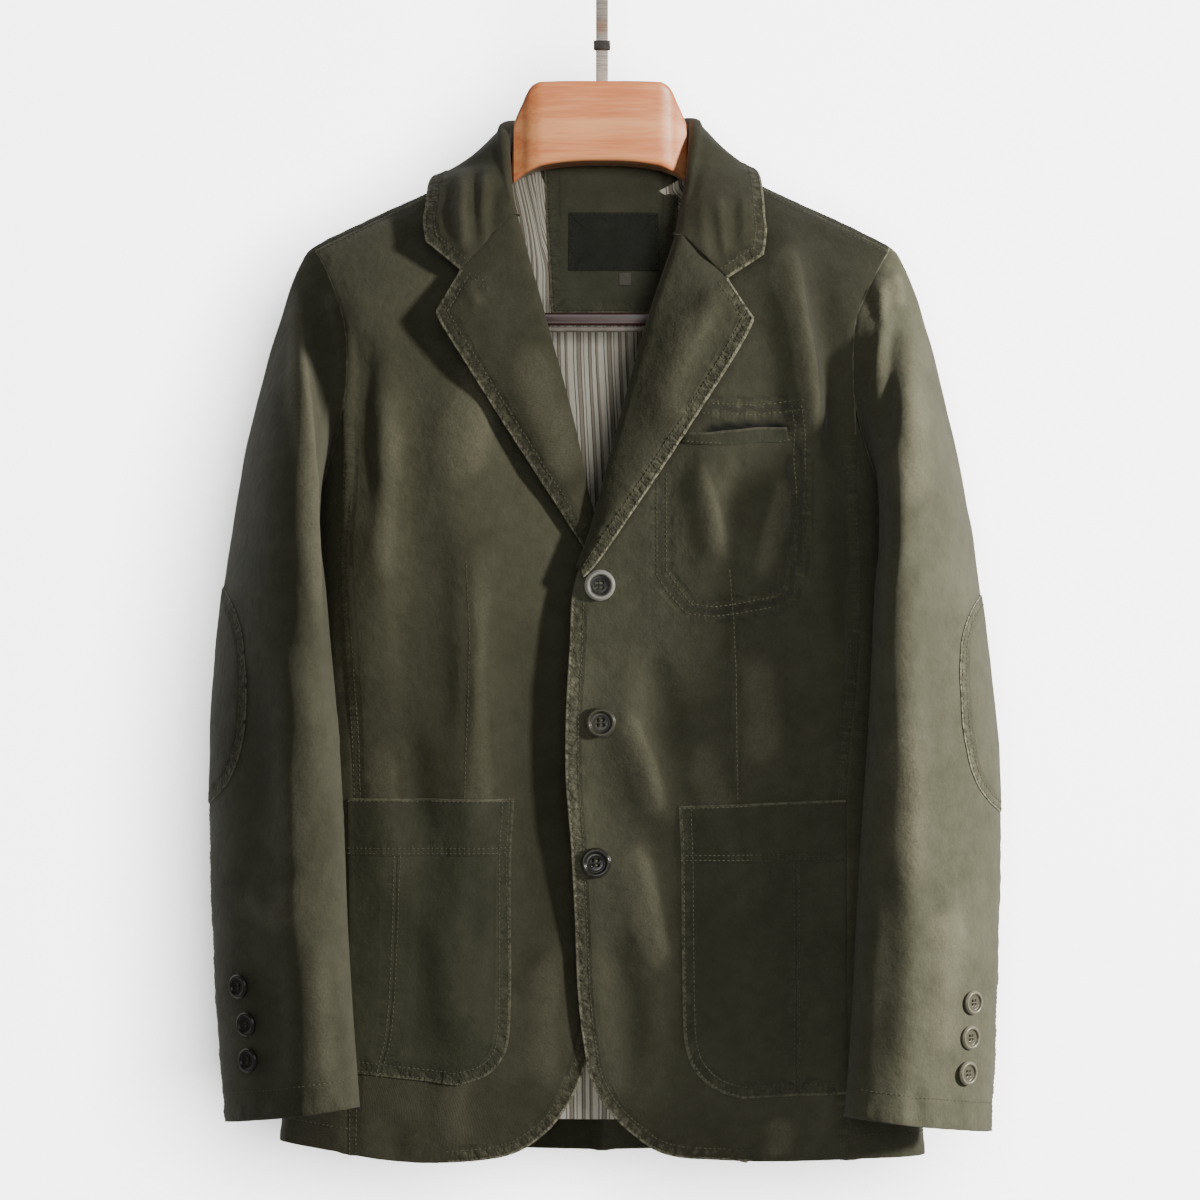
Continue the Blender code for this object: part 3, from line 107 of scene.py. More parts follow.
FRONT_FOLDS = {
    "right": (
        (((-172, -262), (-176, -330), (-170, -430)), 7, 12, -2.4),
        (((-158, -300), (-160, -400), (-158, -500)), 9, 9, 1.6),
        (((-120, -400), (-117, -500), (-113, -600)), 12, 12, -2.2),
        (((-150, -560), (-156, -640), (-150, -720)), 10, 14, 1.8),
        (((-138, -560), (-140, -610), (-128, -655)), 7, 9, -1.8),
        (((-58, -462), (-66, -530), (-56, -640), (-62, -760)), 20, 13, -3.0),
        (((-88, -400), (-94, -500), (-84, -600), (-90, -720)), 9, 16, 1.4),
        (((-36, -700), (-42, -780), (-40, -860)), 9, 12, 1.6),
        (((-104, -800), (-110, -850), (-106, -892)), 10, 10, 1.5),
        (((-150, -852), (-152, -872), (-150, -895)), 8, 8, -1.5),
        (((-70, -280), (-92, -340), (-104, -400)), 12, 16, 1.8),
    ),
    "left": (
        (((135, -196), (141, -240), (152, -292), (162, -370)), 5, 14, 3.2),
        (((110, -226), (122, -290), (136, -400)), 14, 16, -2.4),
        (((152, -208), (165, -256), (173, -320), (177, -400)), 8, 8, -4.4),
        (((172, -380), (182, -440), (182, -520)), 8, 8, -2.0),
        (((70, -364), (80, -405), (90, -452)), 3.5, 8, 1.6),
        (((134, -366), (126, -415), (112, -466)), 8, 3.5, 1.8),
        (((-21, -460), (-25, -560), (-22, -700)), 9, 9, 1.2),
        (((14, -546), (32, -590), (46, -645)), 5, 10, 2.0),
        (((32, -500), (44, -545), (62, -604)), 9, 9, -2.0),
        (((20, -640), (34, -690), (46, -750)), 5, 12, 2.2),
        (((2, -700), (20, -770), (24, -840)), 9, 9, -1.6),
        (((60, -560), (78, -610), (92, -655)), 10, 10, 1.5),
        (((112, -500), (122, -560), (118, -612)), 12, 12, 1.4),
        (((126, -850), (132, -868), (130, -890)), 9, 9, 1.5),
    ),
}
BACK_FOLDS = (
    (((-150, -240), (-140, -330), (-146, -450)), 12, 14, 2.4),
    (((152, -236), (144, -340), (150, -460)), 12, 14, 2.4),
    (((-70, -190), (-84, -260), (-80, -360)), 12, 12, -2.0),
    (((66, -190), (82, -270), (84, -370)), 12, 12, -2.0),
    (((-30, -420), (-38, -560), (-30, -700)), 14, 14, 2.0),
    (((34, -440), (40, -600), (32, -740)), 14, 14, -2.0),
    (((-130, -640), (-126, -760), (-134, -880)), 16, 14, 2.4),
    (((128, -620), (136, -750), (126, -880)), 16, 14, 2.2),
    (((-96, -380), (-40, -410), (30, -402)), 12, 16, 1.6),
)
SLEEVE_FRONT_FOLDS = {
    "right": (
        (((-230, -214), (-222, -280), (-215, -345), (-207, -430), (-204, -520)), 3.0, 8, 3.4),
        (((-214, -230), (-207, -290), (-202, -345), (-198, -420)), 6, 5, -3.2),
        (((-206, -232), (-199, -280), (-193, -325)), 4, 7, 1.8),
        (((-250, -500), (-246, -580), (-236, -660)), 9, 13, -1.6),
        (((-232, -560), (-226, -640), (-222, -740)), 8, 10, 1.8),
        (((-262, -680), (-246, -700), (-222, -706)), 6, 9, 1.4),
        (((-258, -640), (-240, -664), (-214, -676)), 7, 7, -1.3),
        (((-240, -730), (-238, -790), (-244, -850)), 9, 9, -1.6),
        (((-208, -700), (-204, -780), (-196, -850)), 8, 8, 1.4),
    ),
    "left": (
        (((203, -224), (208, -270), (200, -318)), 5, 3, 2.6),
        (((216, -228), (219, -246), (222, -262)), 4, 4, 1.8),
        (((214, -250), (211, -300), (205, -370)), 5, 7, -2.8),
        (((234, -250), (228, -330), (216, -440)), 12, 8, 1.8),
        (((246, -420), (242, -520), (238, -620)), 14, 10, -1.5),
        (((224, -520), (226, -620), (222, -720)), 8, 12, 1.8),
        (((262, -660), (250, -740), (246, -830)), 10, 10, 1.6),
        (((208, -640), (206, -740), (196, -840)), 9, 9, -1.5),
        (((230, -700), (246, -712), (264, -706)), 6, 8, 1.2),
        (((224, -822), (230, -842), (228, -862)), 5, 5, -1.6),
    ),
}
SLEEVE_BACK_FOLDS = {
    side: tuple(
        (tuple((sign_of(side) * x, z) for x, z in path), *rest)
        for path, *rest in (
            (((214, -236), (226, -300), (232, -380)), 8, 12, 2.6),
            (((236, -250), (250, -330), (254, -420)), 8, 8, -2.2),
            (((268, -470), (240, -500), (216, -506)), 7, 11, 2.4),
            (((272, -520), (246, -545), (220, -548)), 8, 8, -2.0),
            (((270, -560), (240, -590), (212, -592)), 6, 12, 2.0),
            (((226, -620), (222, -720), (214, -830)), 10, 12, 1.8),
        )
    )
    for side in SIDES
}
COLLAR_FOLDS = (
    (((-100, -150), (-101, -186), (-95, -224)), 4, 7, 1.5),
    (((-93, -148), (-94, -190), (-90, -228)), 3.5, 4, -1.5),
    (((-86, -146), (-88, -188), (-86, -230)), 4, 5, 1.5),
    (((-78, -160), (-82, -194), (-84, -226)), 4, 4, -1.1),
    (((-110, -160), (-113, -184), (-110, -210)), 4, 5, -0.9),
    (((-105, -176), (-104, -200), (-100, -222)), 3, 3, 0.8),
    (((73, -176), (76, -206), (82, -236)), 5, 6, 1.0),
    (((78, -180), (82, -208), (87, -234)), 3, 3, -0.9),
    (((86, -166), (89, -200), (92, -230)), 5, 4, 1.1),
    (((96, -176), (97, -204), (97, -224)), 3, 4, -0.9),
    (((104, -168), (104, -196), (102, -218)), 4, 3, 0.9),
    (((66, -150), (64, -184), (70, -212)), 5, 6, -0.8),
)
LAPEL_FOLDS = {
    "right": (
        (((-97, -238), (-91, -250), (-87, -262)), 3, 5, 1.0),
        (((-91, -234), (-85, -246), (-80, -256)), 3, 5, 0.8),
        (((-94, -240), (-88, -250), (-83, -260)), 2.8, 2.8, -0.8),
        (((-60, -270), (-46, -330), (-20, -400)), 14, 12, 1.6),
        (((-96, -300), (-70, -340), (-40, -380)), 9, 9, -0.9),
    ),
    "left": (
        (((84, -242), (78, -262), (72, -290)), 8, 6, 0.9),
        (((72, -250), (60, -300), (40, -360)), 12, 14, 1.6),
        (((86, -262), (74, -300), (56, -340)), 8, 8, -1.1),
    ),
}
FRONT_DEPTH = 2.2  # how much deeper the folds are than their heights say
SLEEVE_DEPTH = 1.7
WELT_MOUTH = (((62, -351), (105, -348), (151, -347)), 3.4, 3.4, -5.0)
POCKET_FOLDS = {
    "right": (
        (((-120, -690), (-112, -760), (-100, -806)), 10, 14, 1.6),
        (((-140, -700), (-136, -760), (-138, -820)), 10, 8, -1.2),
        (((-90, -660), (-92, -700), (-96, -740)), 8, 8, -1.0),
    ),
    "left": (
        (((92, -632), (100, -680), (104, -730)), 6, 9, 1.5),
        (((112, -640), (118, -676), (116, -716)), 5, 5, 1.0),
        (((84, -700), (88, -760), (96, -812)), 9, 9, -1.0),
    ),
}


def fold_field(points, folds, strength):
    """Heights of the folds at each point of a piece."""
    height = np.zeros(points.shape[:-1])
    x = points[..., 0]
    z = points[..., 2]
    for path, left_width, right_width, rise in folds:
        path = np.array(path, dtype=float)
        lengths = np.linalg.norm(np.diff(path, axis=0), axis=1)
        total = lengths.sum()
        nearest = np.full(x.shape, np.inf)
        side = np.zeros(x.shape)
        place = np.zeros(x.shape)
        before = 0.0
        for start, end, length in zip(path, path[1:], lengths):
            way = (end - start) / length
            along = np.clip((x - start[0]) * way[0] + (z - start[1]) * way[1], 0.0, length)
            off_x = x - start[0] - along * way[0]
            off_z = z - start[1] - along * way[1]
            distance = np.hypot(off_x, off_z)
            closer = distance < nearest
            nearest = np.where(closer, distance, nearest)
            side = np.where(closer, way[0] * off_z - way[1] * off_x, side)
            place = np.where(closer, before + along, place)
            before += length
        width = np.where(side > 0.0, left_width, right_width)
        share = place / total
        taper = ease(share / FOLD_TAPER) * ease((1.0 - share) / FOLD_TAPER)
        height += strength * rise * taper * np.exp(-0.5 * (nearest / width) ** 2)
    return height


def gentle_waves(points, seed, longest, height):
    """A soft unevenness, the same for every piece that lies in one place."""
    random = np.random.default_rng(seed)
    total = np.zeros(points.shape[:-1])
    for _ in range(WAVE_COUNT):
        way = random.normal(size=3) * (1.0, 0.5, 0.55)
        way /= np.linalg.norm(way)
        pitch = longest * random.uniform(0.35, 1.0)
        phase = random.uniform(0.0, 2.0 * math.pi)
        total += np.sin((points @ way) * (2.0 * math.pi / pitch) + phase)
    return total * height / WAVE_COUNT


def ripple(at, pitch, seed):
    """An uneven wave: crests and hollows of different heights at different spacings."""
    random = np.random.default_rng(seed)
    count = int(at.max() / (0.6 * pitch)) + 6
    places = np.cumsum(pitch * random.uniform(0.3, 0.8, count)) - 2.0 * pitch
    heights = random.uniform(0.25, 1.0, count) * np.where(np.arange(count) % 2, 1.0, -1.0)
    span = np.clip(np.searchsorted(places, at) - 1, 0, count - 2)
    share = (at - places[span]) / (places[span + 1] - places[span])
    return heights[span] + (heights[span + 1] - heights[span]) * ease(share)


# Reading the CAD sheets ------------------------------------------------------------------------

def smooth_faces(shape, seen, bend):
    """The faces of a wall's visible side, the smooth area that looks the seen way most."""
    grouped = set()
    best = None
    for first in shape.faces:
        if first.index in grouped:
            continue
        group = []
        waiting = [first]
        while waiting:
            face = waiting.pop()
            if face.index in grouped:
                continue
            grouped.add(face.index)
            group.append(face)
            for edge in face.edges:
                if edge.calc_face_angle(0.0) < math.radians(bend):
                    waiting += [other for other in edge.link_faces if other.index not in grouped]
        area = sum(face.calc_area() for face in group)
        facing = sum((face.normal * face.calc_area() for face in group), Vector())
        score = facing.dot(Vector(seen)) + 0.01 * area if seen else area
        if best is None or score > best[0]:
            best = (score, group)
    return best[1]


def next_places(face, places):
    """The places of the corners beside a face: two triangles with one edge are a parallelogram."""
    for edge in face.edges:
        for other in edge.link_faces:
            far = next(vert for vert in face.verts if vert not in edge.verts)
            new = next((vert for vert in other.verts if vert not in edge.verts), None)
            if other is not face and new is not None:
                a, b = (places[vert.index] for vert in edge.verts)
                c = places[far.index]
                yield other, new.index, (a[0] + b[0] - c[0], a[1] + b[1] - c[1])


def full_lines(cells, axis):
    """The numbers of the rows or columns that are filled."""
    counts = {}
    for cell in cells:
        counts[cell[axis]] = counts.get(cell[axis], 0) + 1
    most = max(counts.values())
    return sorted(line for line, count in counts.items() if count >= 0.9 * most)


def grid_places(group):
    """The corner at each row and column of a side that was made as rows of squares."""
    inside = {face.index for face in group}
    corners = [vert.index for vert in group[0].verts]
    for turn in range(3):
        places = dict(zip(corners[turn:] + corners[:turn], ((0, 0), (0, 1), (1, 1))))
        done = {group[0].index}
        waiting = [group[0]]
        while waiting:
            for other, new, place in next_places(waiting.pop(), places):
                if other.index in inside and other.index not in done:
                    done.add(other.index)
                    waiting.append(other)
                    places[new] = place
        cells = {place: index for index, place in places.items()}
        rows = full_lines(cells, 0)
        columns = full_lines(cells, 1)
        wanted = {(i, j) for i in rows for j in columns}
        missing = wanted - set(cells)
        whole = rows[-1] - rows[0] + 1 == len(rows) and columns[-1] - columns[0] + 1 == len(columns)
        if not whole or len(missing) > 0.03 * len(wanted) or len(wanted) < 0.9 * len(cells):
            continue
        for face in group:
            for _, new, place in next_places(face, places):
                if place in missing:
                    cells[place] = new
                    missing.discard(place)
        if not missing:
            return [[cells[i, j] for j in columns] for i in rows]
    raise ValueError("the faces don't form a grid")


def read_grid(node, seen, down, across, bend):
    """The visible side of a CAD sheet as rows of points that run down and across.

    Also says whether the points' own turning gives normals that look inwards.
    """
    shape = bmesh.new()
    shape.from_mesh(bpy.data.objects[node].data)
    bmesh.ops.remove_doubles(shape, verts=shape.verts, dist=1e-6)
    shape.normal_update()
    shape.verts.ensure_lookup_table()
    shape.faces.ensure_lookup_table()
    group = smooth_faces(shape, seen, bend)
    numbers = np.array(grid_places(group))
    out = np.zeros((len(shape.verts), 3))
    for face in group:
        for vert in face.verts:
            out[vert.index] += face.normal
    places = np.array([vert.co for vert in shape.verts]) / MM
    shape.free()

    def way(first, last):
        return (places[last] - places[first]).mean(axis=0)

    if abs(way(numbers[:, 0], numbers[:, -1]) @ down) > abs(way(numbers[0], numbers[-1]) @ down):
        numbers = numbers.T
    if way(numbers[0], numbers[-1]) @ down < 0.0:
        numbers = numbers[::-1]
    if way(numbers[:, 0], numbers[:, -1]) @ across < 0.0:
        numbers = numbers[:, ::-1]
    return places[numbers], (grid_normals(places[numbers]) * out[numbers]).sum() < 0.0


# Smooth sheets ---------------------------------------------------------------------------------

def along_curve(points, knots, at):
    """Reads a smooth curve through points, given at their knots, at other places."""
    slopes = np.gradient(points, knots, axis=0, edge_order=2 if len(knots) > 2 else 1)
    span = np.clip(np.searchsorted(knots, at, side="right") - 1, 0, len(knots) - 2)
    shape = (-1,) + (1,) * (points.ndim - 1)
    step = (knots[span + 1] - knots[span]).reshape(shape)
    t = (at - knots[span]).reshape(shape) / step
    return (
        points[span] * (2 * t ** 3 - 3 * t ** 2 + 1)
        + slopes[span] * step * (t ** 3 - 2 * t ** 2 + t)
        + points[span + 1] * (3 * t ** 2 - 2 * t ** 3)
        + slopes[span + 1] * step * (t ** 3 - t ** 2)
    )


def finer(grid, spacing, bends=()):
    """The same surface with more rows; it may bend sharply at the rows named in bends.

    Gives the rows and, for each bend, the number of its new row.
    """
    steps = np.linalg.norm(np.diff(grid, axis=0), axis=2).mean(axis=1)
    knots = np.concatenate(([0.0], np.cumsum(steps)))
    limits = [0, *bends, len(grid) - 1]
    parts = []
    marks = []
    total = 0
    for first, last in zip(limits, limits[1:]):
        length = knots[last] - knots[first]
        count = max(int(round(length / spacing)), 2)
        at = np.linspace(knots[first], knots[last], count + 1)
        part = along_curve(grid[first:last + 1], knots[first:last + 1], at)
        parts.append(part if first == 0 else part[1:])
        total += count
        marks.append(total)
    return np.concatenate(parts), marks[:-1]


def grid_normals(points):
    across = np.gradient(points, axis=1)
    down = np.gradient(points, axis=0)
    normals = np.cross(across, down)
    return normals / np.maximum(np.linalg.norm(normals, axis=2, keepdims=True), 1e-9)


def resample(path, spacing):
    """Points at even distances along a line."""
    path = np.asarray(path, dtype=float)
    lengths = np.concatenate(([0.0], np.cumsum(np.linalg.norm(np.diff(path, axis=0), axis=1))))
    count = max(int(round(lengths[-1] / spacing)), 2)
    at = np.linspace(0.0, lengths[-1], count + 1)
    return np.stack([np.interp(at, lengths, path[:, axis]) for axis in range(3)], axis=1)


def unit(vectors):
    return vectors / np.maximum(np.linalg.norm(vectors, axis=-1, keepdims=True), 1e-9)


def smoothed(values):
    """Each value as the mean of itself and its neighbours in a grid."""
    wide = np.pad(values, 1, mode="edge")
    return (wide[:-2, 1:-1] + wide[2:, 1:-1] + wide[1:-1, :-2] + wide[1:-1, 2:] + 2.0 * values) / 6.0


def squares(numbers):
    """The four corners of each square of a grid."""
    return np.stack([numbers[:-1, :-1], numbers[:-1, 1:], numbers[1:, 1:], numbers[1:, :-1]],
                    axis=-1).reshape(-1, 4)


def surface_tree(points):
    """A grid's surface, for finding the nearest place on it."""
    numbers = np.arange(points[..., 0].size).reshape(points.shape[:2])
    return BVHTree.FromPolygons(points.reshape(-1, 3).tolist(), squares(numbers).tolist())


def line_tree(points):
    """The points of a line or a grid, for finding the nearest of them."""
    tree = KDTree(len(points))
    for index, point in enumerate(points):
        tree.insert(point, index)
    tree.balance()
    return tree


STITCHES = {"place": [], "along": [], "out": [], "size": []}


def note_stitch(**stitch):
    for name, value in stitch.items():
        STITCHES[name].append(value)


class Cloth:
    """A sheet of cloth as rows of points, with its folds, its seams and their stitching.

    Each point has its height above the sheet, its distance from the nearest edge that shows pale with
    wear and painted highlight, how much it crinkles, how far along its seam it is, how much of its
    height a joint lets it keep, and how much painted shade it takes at a dark opening.
    """

    def __init__(self, node, seen, down, across, spacing=GRAIN, bends=(), bend=45.0):
        self.node = node
        coarse, self.turned = read_grid(node, seen, down, across, bend)
        points, _ = finer(coarse, spacing)
        points, self.marks = finer(points.transpose(1, 0, 2), spacing, bends)
        self.points = points.transpose(1, 0, 2)
        shape = self.points.shape[:2]
        self.height = np.zeros(shape)
        self.edge = np.full(shape, FAR_INSIDE)
        self.pucker = np.zeros(shape)
        self.run = np.zeros(shape)
        self.hold = np.ones(shape)
        self.painted_opening_shade = np.zeros(shape)
        self.rows = []
        self.measure()

    def measure(self):
        """Works out the way out of the sheet, the lengths along its rows and columns, and its area."""
        self.normals = grid_normals(self.points) * (-1.0 if self.turned else 1.0)
        rows, columns = self.points.shape[:2]
        down_steps = np.linalg.norm(np.diff(self.points, axis=0), axis=2)
        across_steps = np.linalg.norm(np.diff(self.points, axis=1), axis=2)
        self.v = np.vstack([np.zeros((1, columns)), np.cumsum(down_steps, axis=0)])
        self.u = np.hstack([np.zeros((rows, 1)), np.cumsum(across_steps, axis=1)])
        first = self.points[1:, 1:] - self.points[:-1, :-1]
        second = self.points[1:, :-1] - self.points[:-1, 1:]
        self.area = 0.5 * np.linalg.norm(np.cross(first, second), axis=2).sum()

    def border(self, *names):
        """The line along one or more borders, walked in the order of their names."""
        lines = {"inner": self.points[:, 0], "outer": self.points[:, -1], "top": self.points[0],
                 "bottom": self.points[-1], "inner_up": self.points[::-1, 0],
                 "bottom_back": self.points[-1, ::-1]}
        return np.concatenate([lines[name] for name in names])

    def fold(self, folds, strength=1.0, looks=(0, -1, 0)):
        """Adds folds to the part that looks a given way."""
        facing = ease(self.normals @ np.array(looks, dtype=float) * 2.0)
        self.height += fold_field(self.points, folds, strength) * facing

    def uneven(self, height=1.0):
        self.height += gentle_waves(self.points, 5, 150.0, height)
        self.height += gentle_waves(self.points, 6, 62.0, 0.5 * height)

    def rest_on(self, sheets, thickness):
        """Lays the sheet on the finished surface of others, so that it follows their folds."""
        trees = [surface_tree(sheet.shaped()[0]) for sheet in sheets]
        for place in np.ndindex(self.height.shape):
            way = Vector(self.normals[place])
            start = Vector(self.points[place]) + way * PROBE
            gaps = [gap for gap in (tree.ray_cast(start, -way, 2.0 * PROBE)[3] for tree in trees) if gap]
            if gaps:
                self.height[place] = PROBE - min(gaps) + thickness + REST_GAP
        for _ in range(2):
            self.height = smoothed(self.height)

    def seam(self, path, rows=(), pucker=0.5, kind="edge", seed=1, trim=0.0, reach=12.5):
        """Puckers the cloth along a line and notes the rows of stitches beside it.

        The line is an edge that shows pale with wear and painted highlight, a turned hem, a joint
        with another piece, a ridge, which is a joint that shows as a pale line of wear and painted
        highlight, a lap or a patch on a cloth beneath, or a line only drawn on it.
        """
        path = resample(path, 1.0)
        tree = line_tree(path)
        found = [tree.find(point) for point in self.points.reshape(-1, 3)]
        distance = np.array([item[2] for item in found]).reshape(self.height.shape)
        run = np.array([item[1] for item in found], dtype=float).reshape(self.height.shape)
        near = np.exp(-0.5 * ((distance - 0.36 * reach) / (0.4 * reach)) ** 2) * ease(distance / 2.5)
        ends = ease(run / SEAM_END) * ease((len(path) - run) / SEAM_END)
        self.height += pucker * near * ends * ripple(run, PUCKER_PITCH, seed)
        if kind in PALE_RUB_AND_HIGHLIGHT_FROM:
            self.edge = np.minimum(self.edge, distance + PALE_RUB_AND_HIGHLIGHT_FROM[kind])
        if kind in ("edge", "hem"):
            self.height += TURNED * ease((TURNED_WIDTH - distance) / 2.0) * ends
        if kind in ("joint", "ridge"):
            self.hold = np.minimum(self.hold, ease(distance / HOLD_WIDTH))
        crinkled = STITCHED_JOINT if kind == "joint" and rows else CRINKLED[kind]
        mask = ease((reach - distance) / (0.5 * reach)) * ends * crinkled * min(pucker / 0.3, 1.0)
        self.run = np.where(mask > self.pucker, run + 1000.0 * seed, self.run)
        self.pucker = np.maximum(self.pucker, mask)
        for row in rows:
            self.rows.append((path, row, trim))

    def line(self, places):
        """A line drawn on the cloth from its x and z, as seen from the front or the back."""
        tree = surface_tree(self.points)
        way = Vector((0, 1, 0)) if self.normals[..., 1].mean() < 0.0 else Vector((0, -1, 0))
        flat = resample([(x, 0.0, z) for x, z in places], 2.0)
        hits = [tree.ray_cast(Vector(point) - way * 400.0, way)[0] for point in flat]
        return np.array([hit for hit in hits if hit is not None])

    def shaped(self):
        """Points and normals with the folds and puckers in them."""
        points = self.points + self.normals * (self.height * self.hold)[..., None]
        return points, grid_normals(points) * (-1.0 if self.turned else 1.0)

    def stitch(self, points, normals):
        """Notes the place, direction and size of each stitch in the noted rows."""
        if not self.rows:
            return
        flat = surface_tree(self.points)
        tree = surface_tree(points)
        outs = normals[::3, ::3].reshape(-1, 3)
        rough = line_tree(self.points[::3, ::3].reshape(-1, 3))
        for path, distance, trim in self.rows:
            line = resample(path, STITCH_PITCH)
            ways = unit(np.gradient(line, axis=0))
            skip = int(trim / STITCH_PITCH)
            for place, way in list(zip(line, ways))[skip:len(line) - skip]:
                out = outs[rough.find(place)[1]]
                inwards = unit(np.cross(out, way))
                for sign in (1.0, -1.0):
                    target = Vector(place + inwards * sign * distance)
                    landed = flat.find_nearest(target)[0]
                    if (landed - target).length < 0.3 * abs(distance) + 0.35:
                        seat = tree.find_nearest(landed)[0]
                        out = outs[rough.find(landed)[1]]
                        note_stitch(place=np.array(seat) + out * REST_GAP, along=way, out=out, size=1.0)
                        break


# Meshes ----------------------------------------------------------------------------------------

def new_mesh(name, verts, faces):
    """A mesh from points in millimetres."""
    mesh = bpy.data.meshes.new(name)
    mesh.from_pydata((np.array(verts) * MM).tolist(), [], faces)
    return mesh


def store(mesh, name, values, kind="FLOAT", field="value"):
    """Keeps a value for each point of a mesh."""
    layer = mesh.attributes.new(name, kind, "POINT")
    layer.data.foreach_set(field, np.asarray(values, dtype=np.float32).reshape(-1))


def in_scene(name, data):
    """Puts a mesh, a light or a camera in the scene."""
    thing = bpy.data.objects.new(name, data)
    bpy.context.scene.collection.objects.link(thing)
    return thing


def new_piece(name, mesh, material, node=None):
    """Makes a piece of the part from a finished mesh."""
    mesh.materials.clear()
    mesh.materials.append(material)
    piece = in_scene(name, mesh)
    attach(piece, "root")
    if node:
        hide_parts(node)
    return piece


def around(grid):
    """The border of a grid as one closed line."""
    return np.concatenate([grid[0, :], grid[1:, -1], grid[-1, -2::-1], grid[-2:0:-1, 0]])


def outwards(points):
    """At the border of a sheet, the way out of it in its own surface."""
    out = np.zeros_like(points)
    for border, inside in ((np.s_[0], np.s_[1]), (np.s_[-1], np.s_[-2]),
                           (np.s_[:, 0], np.s_[:, 1]), (np.s_[:, -1], np.s_[:, -2])):
        out[border] += unit(points[border] - points[inside])
    return unit(out) * (np.linalg.norm(out, axis=2, keepdims=True) > 0.1)


def wall(cloth, thickness, material):
    """A closed wall with rounded edges from a sheet of cloth."""
    points, normals = cloth.shaped()
    cloth.stitch(points, normals)
    radius = 0.5 * thickness
    out = outwards(points)
    points = points + out * (JOINT_LAP - (JOINT_LAP + 0.55 * radius) * cloth.hold[..., None])
    middle = points - normals * radius
    numbers = np.arange(points[..., 0].size).reshape(points.shape[:2])
    border = around(numbers)
    verts = [points.reshape(-1, 3), (points - normals * thickness).reshape(-1, 3)]
    sources = [numbers.reshape(-1), numbers.reshape(-1)]
    rings = [border]
    for degrees in (45.0, 90.0, 135.0):
        turn = math.radians(degrees)
        rings.append(sum(len(part) for part in verts) + np.arange(len(border)))
        verts.append(around(middle) + around(normals) * radius * math.cos(turn)
                     + around(out) * radius * math.sin(turn))
        sources.append(border)
    rings.append(border + numbers.size)
    quads = squares(numbers)
    faces = [quads, quads[:, ::-1] + numbers.size]
    for ring, following in zip(rings, rings[1:]):
        faces.append(np.stack([ring, following, np.roll(following, -1), np.roll(ring, -1)], axis=-1))
    verts = np.concatenate(verts)
    faces = np.concatenate(faces)
    sources = np.concatenate(sources)
    if not cloth.turned:
        faces = faces[:, ::-1]
    name = cloth.node + "_cloth"
    mesh = new_mesh(name, verts, faces.tolist())
    for label, values, size in (("edge", cloth.edge, MM), ("pucker", cloth.pucker, 1.0),
                                ("run", cloth.run, MM), ("rise", cloth.height, 1.0),
                                ("painted_opening_shade", cloth.painted_opening_shade, 1.0)):
        store(mesh, label, values.reshape(-1)[sources] * size)
    cut = np.stack([cloth.u, cloth.v], axis=-1).reshape(-1, 2)[sources] * MM
    loops = np.empty(len(mesh.loops), dtype=np.int32)
    mesh.loops.foreach_get("vertex_index", loops)
    layer = mesh.uv_layers.new(name="cut")
    layer.data.foreach_set("uv", cut[loops].astype(np.float32).reshape(-1))
    mesh.shade_smooth()
    piece = new_piece(name, mesh, material, cloth.node)


# Materials -------------------------------------------------------------------------------------

def linear(*channels):
    """A colour from its eight-bit screen values."""
    shares = [channel / 255.0 for channel in channels]
    return tuple(s / 12.92 if s < 0.04045 else ((s + 0.055) / 1.055) ** 2.4 for s in shares) + (1.0,)


def put(tree, kind, inputs=(), **settings):
    """Adds a node; each input is a constant or another node's output."""
    node = tree.nodes.new(kind)
    for name, value in settings.items():
        setattr(node, name, value)
    for key, value in inputs.items() if isinstance(inputs, dict) else enumerate(inputs):
        if isinstance(value, bpy.types.NodeSocket):
            tree.links.new(value, node.inputs[key])
        else:
            node.inputs[key].default_value = value
    return node


def sums(tree, operation, *values):
    return put(tree, "ShaderNodeMath", values, operation=operation).outputs[0]


def step_between(tree, value, low, high, first=0.0, last=1.0):
    """Goes smoothly from first to last while the value goes from low to high."""
    return put(tree, "ShaderNodeMapRange", [value, low, high, first, last],
               interpolation_type="SMOOTHSTEP").outputs[0]


def blend(tree, factor, first, second):
    node = put(tree, "ShaderNodeMix", data_type="RGBA")
    for key, value in (("Factor_Float", factor), ("A_Color", first), ("B_Color", second)):
        socket = next(item for item in node.inputs if item.identifier == key)
        if isinstance(value, bpy.types.NodeSocket):
            tree.links.new(value, socket)
        else:
            socket.default_value = value
    return next(item for item in node.outputs if item.identifier == "Result_Color")


def noise(tree, place, scale, detail=2.0, roughness=0.5):
    return put(tree, "ShaderNodeTexNoise", {"Vector": place, "Scale": scale, "Detail": detail,
                                            "Roughness": roughness}).outputs["Fac"]


def attribute(tree, name):
    return put(tree, "ShaderNodeAttribute", attribute_name=name).outputs["Fac"]


def own_place(tree):
    return put(tree, "ShaderNodeTexCoord").outputs["Object"]


def cut_place(tree):
    """Where a point lies on the flat cut, in metres."""
    return put(tree, "ShaderNodeUVMap", uv_map="cut").outputs["UV"]


def scaled(tree, place, scale):
    return put(tree, "ShaderNodeMapping", {"Vector": place, "Scale": scale}).outputs[0]


def bumpy(tree, strength, depth, height):
    return put(tree, "ShaderNodeBump",
               {"Strength": strength, "Distance": depth, "Height": height}).outputs[0]


def finish(tree, shader, colour, rough, normal):
    for label, value in (("Base Color", colour), ("Roughness", rough), ("Normal", normal)):
        tree.links.new(value, shader.inputs[label])


def new_group(name, inputs, outputs):
    tree = bpy.data.node_groups.new(name, "ShaderNodeTree")
    for label, kind, value in inputs:
        socket = tree.interface.new_socket(label, in_out="INPUT", socket_type="NodeSocket" + kind)
        socket.default_value = value
    for label, kind in outputs:
        tree.interface.new_socket(label, in_out="OUTPUT", socket_type="NodeSocket" + kind)
    return tree, put(tree, "NodeGroupInput").outputs


